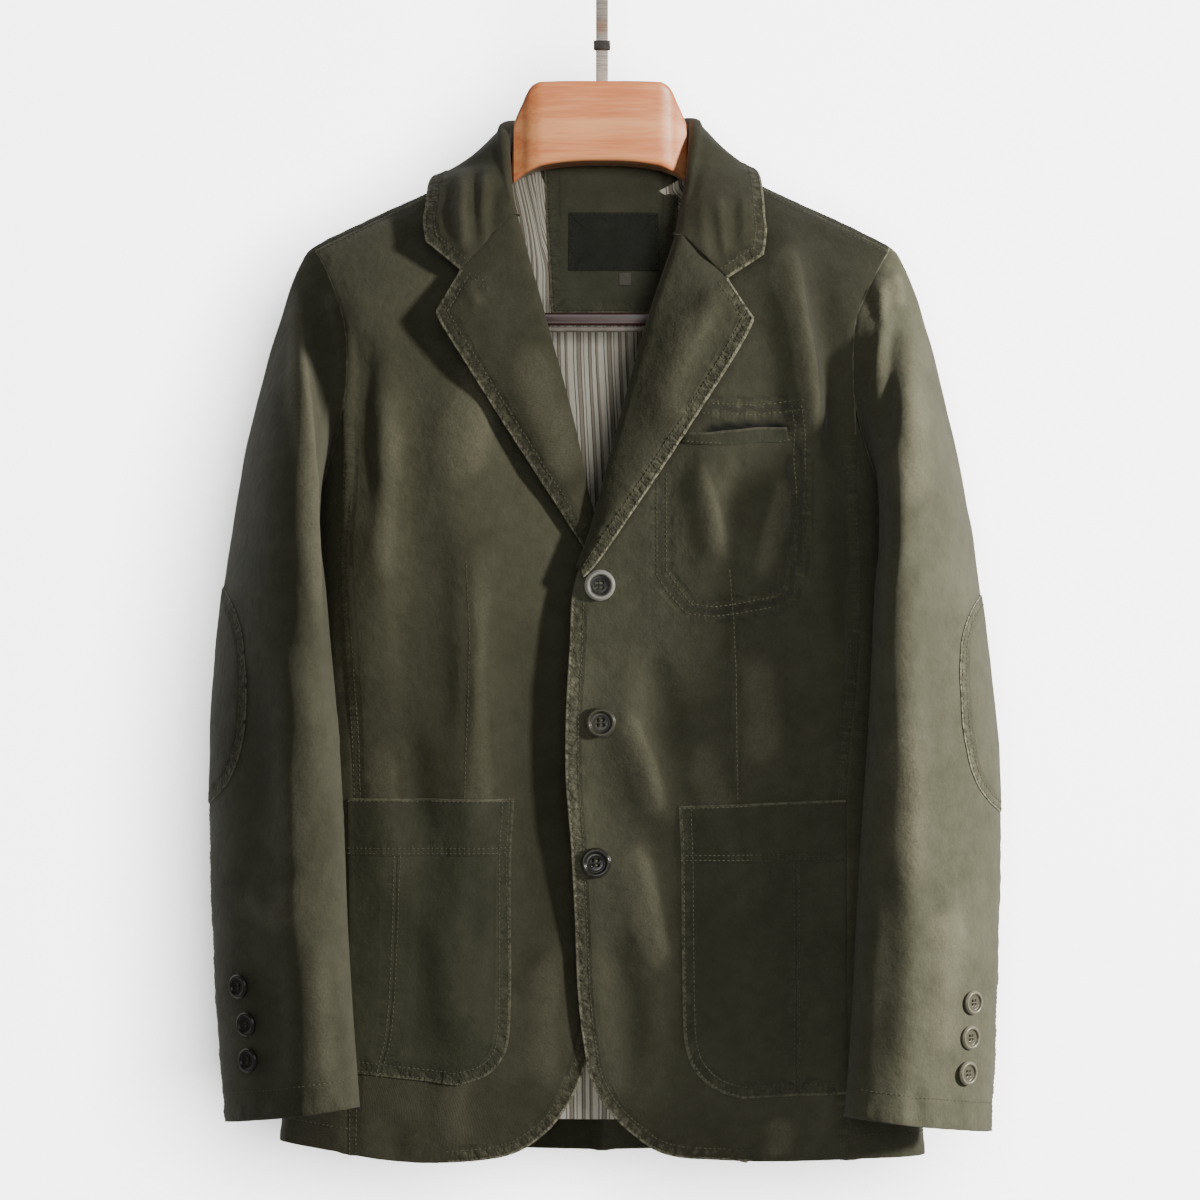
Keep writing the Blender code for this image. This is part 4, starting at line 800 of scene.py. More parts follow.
# Of the twill and the lining, in metres, and the twill's ridges across and down in radians a metre
DASH_LENGTH = 0.0042
DASH_WIDTH = 0.0075
STRIPE_REPEAT = 0.0245
TWILL_ACROSS = 5200.0
TWILL_DOWN = 3600.0


def washed_twill():
    """Garment-washed cotton twill: mottled, puckered at its seams, pale where it rubs and with painted
    highlight on its edges and crests, and darker with painted shade in pits, fold troughs and a marked
    opening.
    """
    tree, given = new_group(
        "washed_twill",
        (("Cloth", "Color", (0.1, 0.1, 0.07, 1.0)), ("Shade", "Color", (0.05, 0.05, 0.03, 1.0)),
         ("Pale rub and highlight", "Color", (0.4, 0.38, 0.3, 1.0)), ("Wear", "Float", 1.0)),
        (("Color", "Color"), ("Roughness", "Float"), ("Normal", "Vector")))
    place = own_place(tree)
    cut = cut_place(tree)
    broad = noise(tree, place, 16.0, 3.0)
    cloudy = noise(tree, place, 75.0, 4.0, 0.6)
    speckle = noise(tree, place, 620.0, 3.0, 0.65)
    crumple = noise(tree, place, 130.0, 3.0, 0.55)
    tone = sums(tree, "ADD", sums(tree, "MULTIPLY", broad, 0.4), sums(tree, "MULTIPLY", cloudy, 0.35))
    tone = sums(tree, "ADD", tone, sums(tree, "MULTIPLY", speckle, 0.25))
    colour = blend(tree, step_between(tree, tone, 0.32, 0.66), given["Shade"], given["Cloth"])

    edge = attribute(tree, "edge")
    pucker = attribute(tree, "pucker")
    rise = attribute(tree, "rise")
    across = put(tree, "ShaderNodeCombineXYZ",
                 [sums(tree, "DIVIDE", attribute(tree, "run"), DASH_LENGTH),
                  sums(tree, "DIVIDE", edge, DASH_WIDTH), 0.0]).outputs[0]
    dashes = noise(tree, across, 1.0, 2.0, 0.6)
    crest = sums(tree, "MULTIPLY", step_between(tree, dashes, 0.5, 0.66), pucker)
    painted_pit_shade = sums(tree, "MULTIPLY", step_between(tree, dashes, 0.5, 0.36), pucker)
    patchy = step_between(tree, noise(tree, place, 210.0, 3.0), 0.34, 0.56, 0.35, 1.0)
    # Partly wear and partly painted highlight: pale along edges and pale seams, on pucker crests and on
    # fold crests.
    edge_rub_and_highlight = sums(tree, "MULTIPLY", step_between(tree, edge, 0.0021, 0.0008), patchy)
    ridge = step_between(tree, rise, 0.7, 3.2, 0.0, 0.3)
    pale_rub_and_highlight = sums(tree, "ADD", edge_rub_and_highlight, sums(tree, "MULTIPLY", crest, 0.22))
    pale_rub_and_highlight = sums(tree, "MULTIPLY", sums(tree, "ADD", pale_rub_and_highlight, sums(tree, "MULTIPLY", ridge, speckle)),
                given["Wear"])
    colour = blend(tree, sums(tree, "MINIMUM", pale_rub_and_highlight, 1.0), colour, given["Pale rub and highlight"])
    # Painted shade: darker towards the Shade colour in the pits between puckers and in the troughs of
    # folds.
    painted_hollow_shade = sums(tree, "ADD", sums(tree, "MULTIPLY", painted_pit_shade, 0.7),
                  step_between(tree, rise, -0.8, -3.0, 0.0, 0.4))
    colour = blend(tree, sums(tree, "MINIMUM", painted_hollow_shade, 1.0), colour, given["Shade"])
    # Painted shade: near black where the cloth marks a dark opening, at the chest welt's mouth.
    colour = blend(tree, attribute(tree, "painted_opening_shade"), colour, linear(16, 16, 12))

    split = put(tree, "ShaderNodeSeparateXYZ", [cut]).outputs
    slant = sums(tree, "ADD", sums(tree, "MULTIPLY", split[0], TWILL_ACROSS),
                 sums(tree, "MULTIPLY", split[1], TWILL_DOWN))
    twill = sums(tree, "SINE", slant)
    height = sums(tree, "ADD", sums(tree, "MULTIPLY", twill, 0.05),
                  sums(tree, "MULTIPLY", speckle, 0.35))
    height = sums(tree, "ADD", height, sums(tree, "MULTIPLY", crumple, 1.3))
    height = sums(tree, "ADD", height,
                  sums(tree, "MULTIPLY", sums(tree, "MULTIPLY", dashes, pucker), 4.6))
    rough = step_between(tree, tone, 0.3, 0.7, 0.92, 0.74)
    put(tree, "NodeGroupOutput", [colour, rough, bumpy(tree, 0.75, 0.001, height)])
    return tree


def new_material(name, **constants):
    material = bpy.data.materials.new(name)
    material.use_nodes = True
    shader = material.node_tree.nodes["Principled BSDF"]
    for label, value in constants.items():
        shader.inputs[label.replace("_", " ")].default_value = value
    return material, material.node_tree, shader


def stripe_material():
    """The lining: uneven stripes of white, grey and taupe along the length."""
    material, tree, shader = new_material("striped_lining", Sheen_Weight=0.1, Sheen_Roughness=0.4)
    cut = cut_place(tree)
    place = own_place(tree)
    wander = noise(tree, place, 60.0, 2.0)
    across = sums(tree, "ADD", put(tree, "ShaderNodeSeparateXYZ", [cut]).outputs[0],
                  sums(tree, "MULTIPLY", wander, 0.0008))
    share = sums(tree, "FRACT", sums(tree, "DIVIDE", across, STRIPE_REPEAT))
    ramp = put(tree, "ShaderNodeValToRGB", [share])
    ramp.color_ramp.interpolation = "CONSTANT"
    white = linear(226, 222, 206)
    grey = linear(120, 114, 100)
    taupe = linear(160, 150, 131)
    dark = linear(78, 72, 62)
    stripes = ((0.0, white), (0.17, dark), (0.2, white), (0.27, grey), (0.31, taupe), (0.4, dark),
               (0.43, white), (0.5, grey), (0.53, white), (0.66, dark), (0.69, taupe), (0.75, grey),
               (0.78, white), (0.9, dark), (0.93, taupe))
    elements = ramp.color_ramp.elements
    while len(elements) < len(stripes):
        elements.new(0.5)
    for element, (at, colour) in zip(elements, stripes):
        element.position = at
        element.color = colour
    weave = noise(tree, place, 900.0, 2.0)
    soft = blend(tree, sums(tree, "MULTIPLY", weave, 0.2), ramp.outputs[0], linear(120, 114, 102))
    finish(tree, shader, soft, step_between(tree, weave, 0.3, 0.7, 0.5, 0.65),
           bumpy(tree, 0.4, 0.0004, weave))
    return material


def wood_material():
    material, tree, shader = new_material("pale_wood", Coat_Weight=0.25, Coat_Roughness=0.3)
    place = own_place(tree)
    rings = noise(tree, scaled(tree, place, (5.0, 70.0, 70.0)), 1.0, 4.0, 0.6)
    fibre = noise(tree, scaled(tree, place, (40.0, 900.0, 900.0)), 1.0, 2.0)
    tone = sums(tree, "ADD", sums(tree, "MULTIPLY", rings, 0.75), sums(tree, "MULTIPLY", fibre, 0.25))
    colour = blend(tree, step_between(tree, tone, 0.36, 0.64), linear(220, 128, 76),
                   linear(246, 168, 114))
    finish(tree, shader, colour, step_between(tree, tone, 0.3, 0.7, 0.5, 0.36),
           bumpy(tree, 0.25, 0.0005, tone))
    return material


def smooth_material(name, colour, second, scale, rough, stretch=(1.0, 1.0, 1.0), **constants):
    """A smooth hard finish whose colour and gloss vary a little."""
    material, tree, shader = new_material(name, **constants)
    tone = noise(tree, scaled(tree, own_place(tree), stretch), scale, 3.0, 0.6)
    share = step_between(tree, tone, 0.38, 0.62)
    finish(tree, shader, blend(tree, share, colour, second),
           step_between(tree, tone, 0.3, 0.7, rough * 1.2, rough * 0.8), bumpy(tree, 0.15, 0.0002, tone))
    return material


def button_material(name, centre, rim, rough, coat):
    """A button: the colour changes from the dish to the rim, with speckles."""
    material, tree, shader = new_material(name, Coat_Weight=coat, Coat_Roughness=0.15)
    place = own_place(tree)
    ring = attribute(tree, "ring")
    speckle = noise(tree, place, 900.0, 3.0, 0.7)
    cloudy = noise(tree, place, 260.0, 2.0)
    ring = sums(tree, "ADD", ring, sums(tree, "MULTIPLY", sums(tree, "SUBTRACT", cloudy, 0.5), 0.16))
    colour = blend(tree, step_between(tree, ring, 0.62, 0.78), centre, rim)
    dark = tuple(0.45 * channel for channel in centre[:3]) + (1.0,)
    colour = blend(tree, step_between(tree, speckle, 0.56, 0.7, 0.0, 0.6), colour, dark)
    finish(tree, shader, colour, step_between(tree, speckle, 0.3, 0.7, rough * 0.8, rough * 1.2),
           bumpy(tree, 0.3, 0.0003, speckle))
    return material


TWILL = washed_twill()
OLIVE_RUB_AND_HIGHLIGHT = (182, 177, 148)
GARMENT_SHEEN = (0.2, 0.5)
TRIM_SHEEN = (0.1, 0.4)


def twill_material(name, cloth, shade, pale_rub_and_highlight, pale_rub_and_highlight_strength, sheen):
    """The washed twill in colours of its own."""
    material, tree, shader = new_material(name, Sheen_Weight=sheen[0], Sheen_Roughness=sheen[1])
    node = put(tree, "ShaderNodeGroup", node_tree=TWILL)
    for label, value in (("Cloth", linear(*cloth)), ("Shade", linear(*shade)),
                         ("Pale rub and highlight", linear(*pale_rub_and_highlight)), ("Wear", pale_rub_and_highlight_strength)):
        node.inputs[label].default_value = value
    finish(tree, shader, node.outputs["Color"], node.outputs["Roughness"], node.outputs["Normal"])
    return material


coat_cloth = twill_material("olive_twill", (92, 91, 69), (76, 75, 55), OLIVE_RUB_AND_HIGHLIGHT, 0.9, GARMENT_SHEEN)
pocket_cloth = twill_material("olive_twill_darker", (85, 86, 65), (72, 73, 54), OLIVE_RUB_AND_HIGHLIGHT, 0.35,
                              GARMENT_SHEEN)
facing_cloth = twill_material("olive_facing", (98, 99, 81), (84, 85, 68), OLIVE_RUB_AND_HIGHLIGHT, 0.3, GARMENT_SHEEN)
label_cloth = twill_material("dark_label", (62, 66, 56), (52, 56, 47), (90, 92, 84), 0.2, TRIM_SHEEN)
tab_cloth = twill_material("pale_tab", (122, 120, 110), (104, 102, 92), (170, 168, 158), 0.2, TRIM_SHEEN)
lining_cloth = stripe_material()
thread = smooth_material("olive_thread", linear(132, 130, 108), linear(104, 102, 84), 500.0, 0.7)
wood = wood_material()
steel = smooth_material("brushed_steel", linear(206, 200, 190), linear(182, 176, 166), 60.0, 0.3,
                        (1.0, 1.0, 14.0), Metallic=0.35)
dark_steel = smooth_material("dark_clip", linear(96, 92, 88), linear(70, 67, 64), 120.0, 0.35,
                             Metallic=0.6)
bar_paint = smooth_material("dark_red_bar", linear(93, 56, 50), linear(74, 42, 38), 40.0, 0.32,
                            (1.0, 8.0, 8.0), Coat_Weight=0.4, Coat_Roughness=0.2)
grip_rubber = smooth_material("pale_grip", linear(186, 176, 166), linear(160, 150, 140), 90.0, 0.55)


# Cloth pieces ----------------------------------------------------------------------------------

DOWN = (0, 0, -1)
FRONT = (0, -1, 0)
BACK = (0, 1, 0)
BREAK = {"right": -466.0, "left": -470.0}  # height where a lapel ends and the front edge starts
UNDERARM = {"right": -335.0, "left": -352.0}  # height of the top of a side seam
ELBOW = -628.0  # height of the lower end of an elbow patch
VENT = -748.0  # height where a cuff's vent starts
DARTS = {"right": ((-101, -446), (-98, -500), (-102, -622)),
         "left": ((92, -453), (95, -487), (97, -530), (98, -620))}
CHEST_BAG = (
    ((40, -382), (40, -456), (48, -468), (62, -484), (82, -486), (98, -484), (132, -478),
     (141, -470), (148, -440), (150, -400), (149, -352), (147, -332)),
    ((47, -382), (47, -452), (54, -462), (65, -477), (82, -479), (98, -477), (129, -471),
     (135, -465), (141, -438), (142, -400), (141, -352), (139, -332)),
)
NOTCH_TACK = ((-95, -239), (-90, -243), (-84, -247))
FACING_REACH = 15.0  # how far it goes on under the collar on the left
LINING_RISE = 21.0  # how far the lining goes on up beside the facing, on the right, where it shows
LINING_FROM = 42.0  # distances from the middle between which it does so
LINING_TO = 70.0
LINING_LEAN = 7.0  # how far it comes forward there, inside the collar stand
FACING_RISE = 16.0  # how far the facing goes on up behind the hanger
WELT_ROWS = (((74, -330), (112, -331), (148, -327)), ((74, -337), (112, -338), (148, -334)))


def part_of(path, low=-2000.0, high=0.0):
    """The part of a line between two heights."""
    return path[(path[:, 2] >= low) & (path[:, 2] <= high)]


def dress_front(side):
    cloth = Cloth("front_" + side, FRONT, DOWN, outward(side))
    cloth.fold(FRONT_FOLDS[side] + POCKET_FOLDS[side], FRONT_DEPTH)
    cloth.uneven(1.4)
    edge = part_of(cloth.border("inner"), high=BREAK[side])
    corner = len(cloth.points[-1]) // 3
    cloth.seam(np.concatenate([edge, cloth.points[-1, :corner]]), (EDGE_ROW, INNER_ROW), 0.6, seed=2)
    cloth.seam(cloth.border("bottom"), (HEM_ROW,), 0.3, "hem", seed=3, trim=60.0)
    outer = cloth.border("outer")
    cloth.seam(part_of(outer, high=UNDERARM[side]), (EDGE_ROW, FELLED_ROW), 0.5, "joint", seed=4)
    cloth.seam(part_of(outer, low=UNDERARM[side]), (), 0.3, "ridge", seed=5)
    cloth.seam(cloth.border("top"), (2.5,), 0.2, "ridge", seed=6)
    cloth.fold(((DARTS[side], 3.0, 3.0, -1.5),))
    cloth.seam(cloth.line(DARTS[side]), (1.4,), 0.12, "line", seed=7, reach=5.0)
    if side == "left":
        cloth.fold((WELT_MOUTH,))
        # Painted shade: marks the welt's mouth to be painted near black.
        cloth.painted_opening_shade = ease(fold_field(cloth.points, (WELT_MOUTH,), 1.0) / WELT_MOUTH[-1] * 2.0 - 0.5)
        for number, path in enumerate(CHEST_BAG):
            cloth.seam(cloth.line(path), (0.0,), 0.3, "line", seed=8 + number, reach=6.0)
        for number, path in enumerate(WELT_ROWS):
            cloth.seam(cloth.line(path), (0.0,), 0.3, "line", seed=10 + number, reach=6.0)
    wall(cloth, CLOTH, coat_cloth)
    return cloth


def dress_back(side):
    cloth = Cloth("back_" + side, BACK, DOWN, outward(side))
    cloth.fold(BACK_FOLDS, 1.3, BACK)
    cloth.uneven()
    cloth.seam(cloth.border("inner"), (EDGE_ROW, INNER_ROW) if side == "left" else (EDGE_ROW,),
               0.4, "joint", seed=12)
    cloth.seam(cloth.border("bottom"), (HEM_ROW,), 0.3, "hem", seed=13)
    outer = cloth.border("outer")
    cloth.seam(part_of(outer, high=UNDERARM[side]), (EDGE_ROW,), 0.4, "joint", seed=14)
    cloth.seam(part_of(outer, low=UNDERARM[side]), (), 0.3, "joint", seed=15)
    cloth.seam(cloth.border("top"), (EDGE_ROW,), 0.3, "joint", seed=16)
    wall(cloth, CLOTH, coat_cloth)


def dress_side(side):
    cloth = Cloth("side_" + side, outward(side), DOWN, BACK)
    cloth.uneven()
    for name, seed in (("inner", 17), ("outer", 18), ("top", 19)):
        cloth.seam(cloth.border(name), (), 0.3, "joint", seed=seed)
    cloth.seam(cloth.border("bottom"), (HEM_ROW,), 0.3, "hem", seed=20)
    wall(cloth, CLOTH, coat_cloth)


def dress_sleeve(side):
    top = Cloth("topsleeve_" + side, FRONT, DOWN, outward(side))
    top.fold(SLEEVE_FRONT_FOLDS[side], SLEEVE_DEPTH)
    top.fold(SLEEVE_BACK_FOLDS[side], SLEEVE_DEPTH, BACK)
    top.uneven(1.2)
    seam = top.border("outer")
    top.seam(part_of(top.points[:, -4], high=ELBOW), (0.0, 6.5), 0.5, "line", seed=21)
    top.seam(part_of(seam, high=ELBOW), (), 0.2, "joint", seed=51)
    top.seam(part_of(seam, high=VENT), (14.0,), 0.2, "joint", seed=22)
    top.seam(part_of(seam, low=ELBOW), (), 0.35, "joint", seed=23)
    top.seam(top.border("inner"), (), 0.4, "joint", seed=24)
    top.seam(top.border("top"), (), 0.45, "ridge", seed=25)
    top.seam(top.border("bottom"), (CUFF_ROW,), 0.45, "hem", seed=26)
    wall(top, CLOTH, coat_cloth)
    under = Cloth("undersleeve_" + side, BACK, DOWN, (-sign_of(side), 0, 0))
    under.fold(SLEEVE_BACK_FOLDS[side], SLEEVE_DEPTH, BACK)
    under.uneven(1.2)
    under.seam(under.border("inner"), (EDGE_ROW,), 0.4, "joint", seed=27)
    under.seam(under.border("outer"), (), 0.3, "joint", seed=28)
    under.seam(under.border("top"), (), 0.3, "joint", seed=29)
    under.seam(under.border("bottom"), (CUFF_ROW,), 0.4, "hem", seed=30)
    wall(under, CLOTH, coat_cloth)
    return top, under


def dress_lapel(side):
    cloth = Cloth("lapel_" + side, FRONT, DOWN, outward(side), FINE_GRAIN, (4, 7), 55.0)
    cloth.fold(LAPEL_FOLDS[side], 2.4)
    cloth.uneven(0.8)
    notch = cloth.marks[1]
    edge = np.concatenate([cloth.points[0, notch:], cloth.border("outer")])
    cloth.seam(edge, (EDGE_ROW, INNER_ROW), 0.5, seed=31)
    cloth.seam(cloth.points[0, 4:notch], (), 0.3, "joint", seed=32)
    if side == "right":
        cloth.seam(cloth.line(NOTCH_TACK), (0.0, 3.2), 0.2, "line", seed=52, reach=5.0)
    wall(cloth, CLOTH, coat_cloth)


def dress_collar():
    cloth = Cloth("collar", None, (1, 0, 0), DOWN, FINE_GRAIN, (7,), 40.0)
    cloth.fold(COLLAR_FOLDS, 2.2)
    cloth.uneven(0.8)
    notch = cloth.marks[0]
    edge = np.concatenate([cloth.points[0, notch:], cloth.border("outer"),
                           cloth.points[-1, :notch - 1:-1]])
    cloth.seam(edge, (EDGE_ROW, INNER_ROW), 0.45, seed=33)
    wall(cloth, CLOTH, coat_cloth)
    stand = Cloth("collar_stand", None, (1, 0, 0), (0, 0, 1), FINE_GRAIN)
    stand.seam(stand.border("inner"), (), 0.2, "joint", seed=34)
    wall(stand, CLOTH, facing_cloth)


def dress_pocket(side, panel):
    band, front, back = (Cloth(name + side, FRONT, DOWN, outward(side), POCKET_GRAIN)
                         for name in ("pocket_band_", "pocket_front_", "pocket_side_"))
    for cloth in (band, front, back):
        cloth.rest_on([panel], LIGHT_CLOTH)
    band.seam(band.border("top"), (EDGE_ROW,), 0.04, seed=35)
    band.seam(band.border("bottom"), (EDGE_ROW, 5.5), 0.2, "lap", seed=36)
    band.seam(band.border("inner"), (EDGE_ROW, INNER_ROW), 0.3, seed=37)
    front.seam(front.border("inner", "bottom"), (EDGE_ROW, INNER_ROW), 0.4, seed=38)
    front.seam(front.border("outer"), (EDGE_ROW,), 0.15, "lap", seed=39)
    back.seam(back.border("inner"), (EDGE_ROW,), 0.15, "lap", seed=40)
    back.seam(back.border("bottom"), (EDGE_ROW, INNER_ROW), 0.4, seed=41)
    for cloth in (band, front, back):
        wall(cloth, LIGHT_CLOTH, pocket_cloth)


def dress_welt(panel):
    cloth = Cloth("chest_welt", FRONT, DOWN, (1, 0, 0), 1.8)
    cloth.rest_on([panel], LIGHT_CLOTH)
    middle = np.sin(np.linspace(0.0, math.pi, cloth.height.shape[1]))
    cloth.height += 2.6 * middle * ease(1.0 - cloth.v / 7.0)
    cloth.seam(cloth.border("top"), (), 0.03, seed=43)
    cloth.seam(cloth.border("bottom"), (EDGE_ROW,), 0.1, "lap", seed=44)
    wall(cloth, LIGHT_CLOTH, pocket_cloth)


def dress_patch(side, sleeve):
    cloth = Cloth("elbow_patch_" + side, outward(side), DOWN, BACK, FINE_GRAIN)
    cloth.rest_on(sleeve, PATCH_CLOTH)
    border = cloth.border("top", "outer", "bottom_back", "inner_up")
    cloth.seam(border, (EDGE_ROW, FELLED_ROW), 0.5, "patch", seed=47)
    wall(cloth, PATCH_CLOTH, coat_cloth)


def dress_inside():
    lining = Cloth("lining_back", FRONT, DOWN, (1, 0, 0), 5.0)
    away = -lining.points[..., 0]
    rise = ease(1.0 - lining.v / 60.0)
    rise = rise * ease((away - LINING_FROM) / 7.0) * ease((LINING_TO - away) / 8.0)
    lining.points[..., 2] += LINING_RISE * rise
    lining.points[..., 1] -= (LINING_LEAN + 1.2 * np.maximum(away - 50.0, 0.0)) * rise
    lining.measure()
    lining.height -= 0.6 + gentle_waves(lining.points, 9, 70.0, 0.8)
    wall(lining, 0.8, lining_cloth)
    facing = Cloth("back_neck_facing", FRONT, DOWN, (1, 0, 0), 2.4)
    facing.points[..., 2] += FACING_RISE * ease(1.0 - facing.v / 40.0)
    along = unit(facing.points[:, -1:] - facing.points[:, -6:-5])
    facing.points += along * FACING_REACH * ease((facing.points[..., :1] - 10.0) / 34.0)
    facing.measure()
    facing.uneven(0.3)
    facing.seam(facing.border("inner", "bottom"), (2.0,), 0.25, seed=48)
    facing.seam(facing.border("outer"), (2.0,), 0.25, seed=49)
    wall(facing, 0.9, facing_cloth)
    label = Cloth("label_patch", FRONT, DOWN, (1, 0, 0), 2.0)
    label.seam(label.border("top", "outer", "bottom_back", "inner_up"), (1.2,), 0.15, seed=50)
    wall(label, 0.8, label_cloth)
    wall(Cloth("size_tab", FRONT, DOWN, (1, 0, 0), 1.2), 0.6, tab_cloth)


for side in SIDES:
    panel = dress_front(side)
    dress_pocket(side, panel)
    dress_back(side)
    dress_side(side)
    dress_patch(side, dress_sleeve(side))
    dress_lapel(side)
dress_collar()
dress_welt(panel)
dress_inside()


# Buttons ---------------------------------------------------------------------------------------

BUTTON_TURNS = 56
HOLE_PLACE = 0.15  # of the radius, to the side of the middle and also up from it
HOLE_SIZE = 0.085
# Rings of the face, as shares of the radius, then those of the back with their height
FACE_RINGS = (0.05, 0.09, 0.12, 0.145, 0.17, 0.195, 0.22, 0.25, 0.29, 0.34, 0.4, 0.46, 0.5, 0.54, 0.6,
              0.64, 0.68, 0.72, 0.77, 0.83, 0.88, 0.92, 0.96, 0.985, 1.0)
BACK_RINGS = ((0.99, 0.16), (0.93, 0.03), (0.85, 0.0))


def button_height(place, turn, style):
    """Height of a button's face, as a share of its thickness."""
    rim, dish = style
    rounding = 1.0 - 0.75 * ease((place - 0.86) / 0.14)
    height = dish + (1.0 - dish) * ease((place - 0.62) / 0.14) * rounding
    height += rim * math.exp(-((place - 0.5) / 0.05) ** 2)
    x = place * math.cos(turn)
    y = place * math.sin(turn)
    gap = math.hypot(abs(x) - HOLE_PLACE, abs(y) - HOLE_PLACE)
    return height - 0.5 * float(ease((HOLE_SIZE + 0.03 - gap) / 0.05))


def make_button(node, outside, material, style):
    """A turned button with a rim, a dish and four holes, sewn on with two bars of thread."""
    source = bpy.data.objects[node]
    cloud = np.array([vert.co for vert in source.data.vertices]) / MM
    centre = 0.5 * (cloud.max(axis=0) + cloud.min(axis=0))
    axis = np.linalg.svd(cloud - cloud.mean(axis=0))[2][2]
    axis *= 1.0 if axis @ np.array(outside, dtype=float) > 0.0 else -1.0
    depths = (cloud - centre) @ axis
    flat = cloud - centre - depths[:, None] * axis
    radius = np.linalg.norm(flat, axis=1).max()
    base = centre + axis * depths.min()
    thick = depths.max() - depths.min()
    right = unit(np.cross((0.0, 0.0, 1.0), axis))
    up = np.cross(axis, right)
    verts = [base + axis * thick * button_height(0.0, 0.0, style)]
    shares = [0.0]
    for place, level in [(place, None) for place in FACE_RINGS] + list(BACK_RINGS):
        for step in range(BUTTON_TURNS):
            turn = 2.0 * math.pi * step / BUTTON_TURNS
            out = right * math.cos(turn) + up * math.sin(turn)
            height = button_height(place, turn, style) if level is None else level
            verts.append(base + out * place * radius + axis * thick * height)
            shares.append(place if level is None else 1.0)
    verts.append(base)
    shares.append(1.0)
    rings = len(FACE_RINGS) + len(BACK_RINGS)
    faces = []
    for step in range(BUTTON_TURNS):
        following = (step + 1) % BUTTON_TURNS
        faces.append((0, 1 + step, 1 + following))
        for ring in range(rings - 1):
            low = 1 + ring * BUTTON_TURNS
            high = low + BUTTON_TURNS
            faces.append((low + step, high + step, high + following, low + following))
        last = 1 + (rings - 1) * BUTTON_TURNS
        faces.append((last + following, last + step, len(verts) - 1))
    mesh = new_mesh(node + "_turned", verts, faces)
    store(mesh, "ring", shares)
    mesh.shade_smooth()
    new_piece(node + "_turned", mesh, material, node)
    reach = HOLE_PLACE * radius
    for row in (-1.0, 1.0):
        for share in (-0.35, 0.35):
            seat = base + axis * (thick * style[1] + REST_GAP) + up * (row * reach + share)
            note_stitch(place=seat, along=right, out=axis, size=2.3 * reach / STITCH_LENGTH)


# Buttons of one kind whose colours differ by painted light and shade: a painted highlight on the top
# one's pale rim, painted shade darkening the bottom one.
FRONT_BUTTONS = (
    ("front_button_top", linear(64, 61, 54), linear(184, 181, 170), 0.35, 0.1, (0.1, 0.45)),
    ("front_button_middle", linear(66, 63, 50), linear(84, 80, 65), 0.35, 0.15, (0.06, 0.5)),
    ("front_button_bottom", linear(44, 41, 34), linear(56, 52, 44), 0.22, 0.5, (0.06, 0.5)),
)
for node, centre, rim, rough, coat, style in FRONT_BUTTONS:
    make_button(node, FRONT, button_material(node + "_horn", centre, rim, rough, coat), style)
# One kind of button on both cuffs in two copies: darker on the right cuff as painted shade, paler on the
# left cuff as painted light.
CUFF_LIT_AND_SHADED_COPIES = {
    "right": button_material("cuff_horn_painted_shade", linear(40, 36, 30), linear(54, 48, 41), 0.2, 0.5),
    "left": button_material("cuff_horn_painted_light", linear(92, 88, 72), linear(126, 121, 101), 0.3, 0.3),
}
for side in SIDES:
    for number in (1, 2, 3):
        make_button("cuff_button_%s_%d" % (side, number), (sign_of(side), -1, 0),
                    CUFF_LIT_AND_SHADED_COPIES[side], (0.0, 0.55))


# Hanger ----------------------------------------------------------------------------------------

def copy_of(node):
    """A merged copy of a CAD node's mesh, in its own place."""
    shape = bmesh.new()
    shape.from_mesh(bpy.data.objects[node].data)
    bmesh.ops.remove_doubles(shape, verts=shape.verts, dist=1e-6)
    mesh = bpy.data.meshes.new(node + "_finished")
    shape.to_mesh(mesh)
    shape.free()
    return mesh


def rounded_copy(node, width, segments, material):
    """The CAD node's shape with its edges rounded."""
    mesh = copy_of(node)
    shape = bmesh.new()
    shape.from_mesh(mesh)
    bmesh.ops.dissolve_limit(shape, angle_limit=0.01, verts=shape.verts, edges=shape.edges)
    sharp = [edge for edge in shape.edges if edge.calc_face_angle(0.0) > math.radians(40.0)]
    bmesh.ops.bevel(shape, geom=sharp, offset=width * MM, segments=segments, affect="EDGES",
                    profile=0.5, clamp_overlap=True)
    shape.to_mesh(mesh)
    shape.free()
    mesh.shade_smooth()
    mesh.set_sharp_from_angle(angle=math.radians(34.0))
    new_piece(node + "_finished", mesh, material, node)


HANGER_GRAIN = 3.0
HANGER_CORNERS = 40
HANGER_FACETS = (45.0, 64.0, 65.6)  # distances from the middle where the wood bends sharply


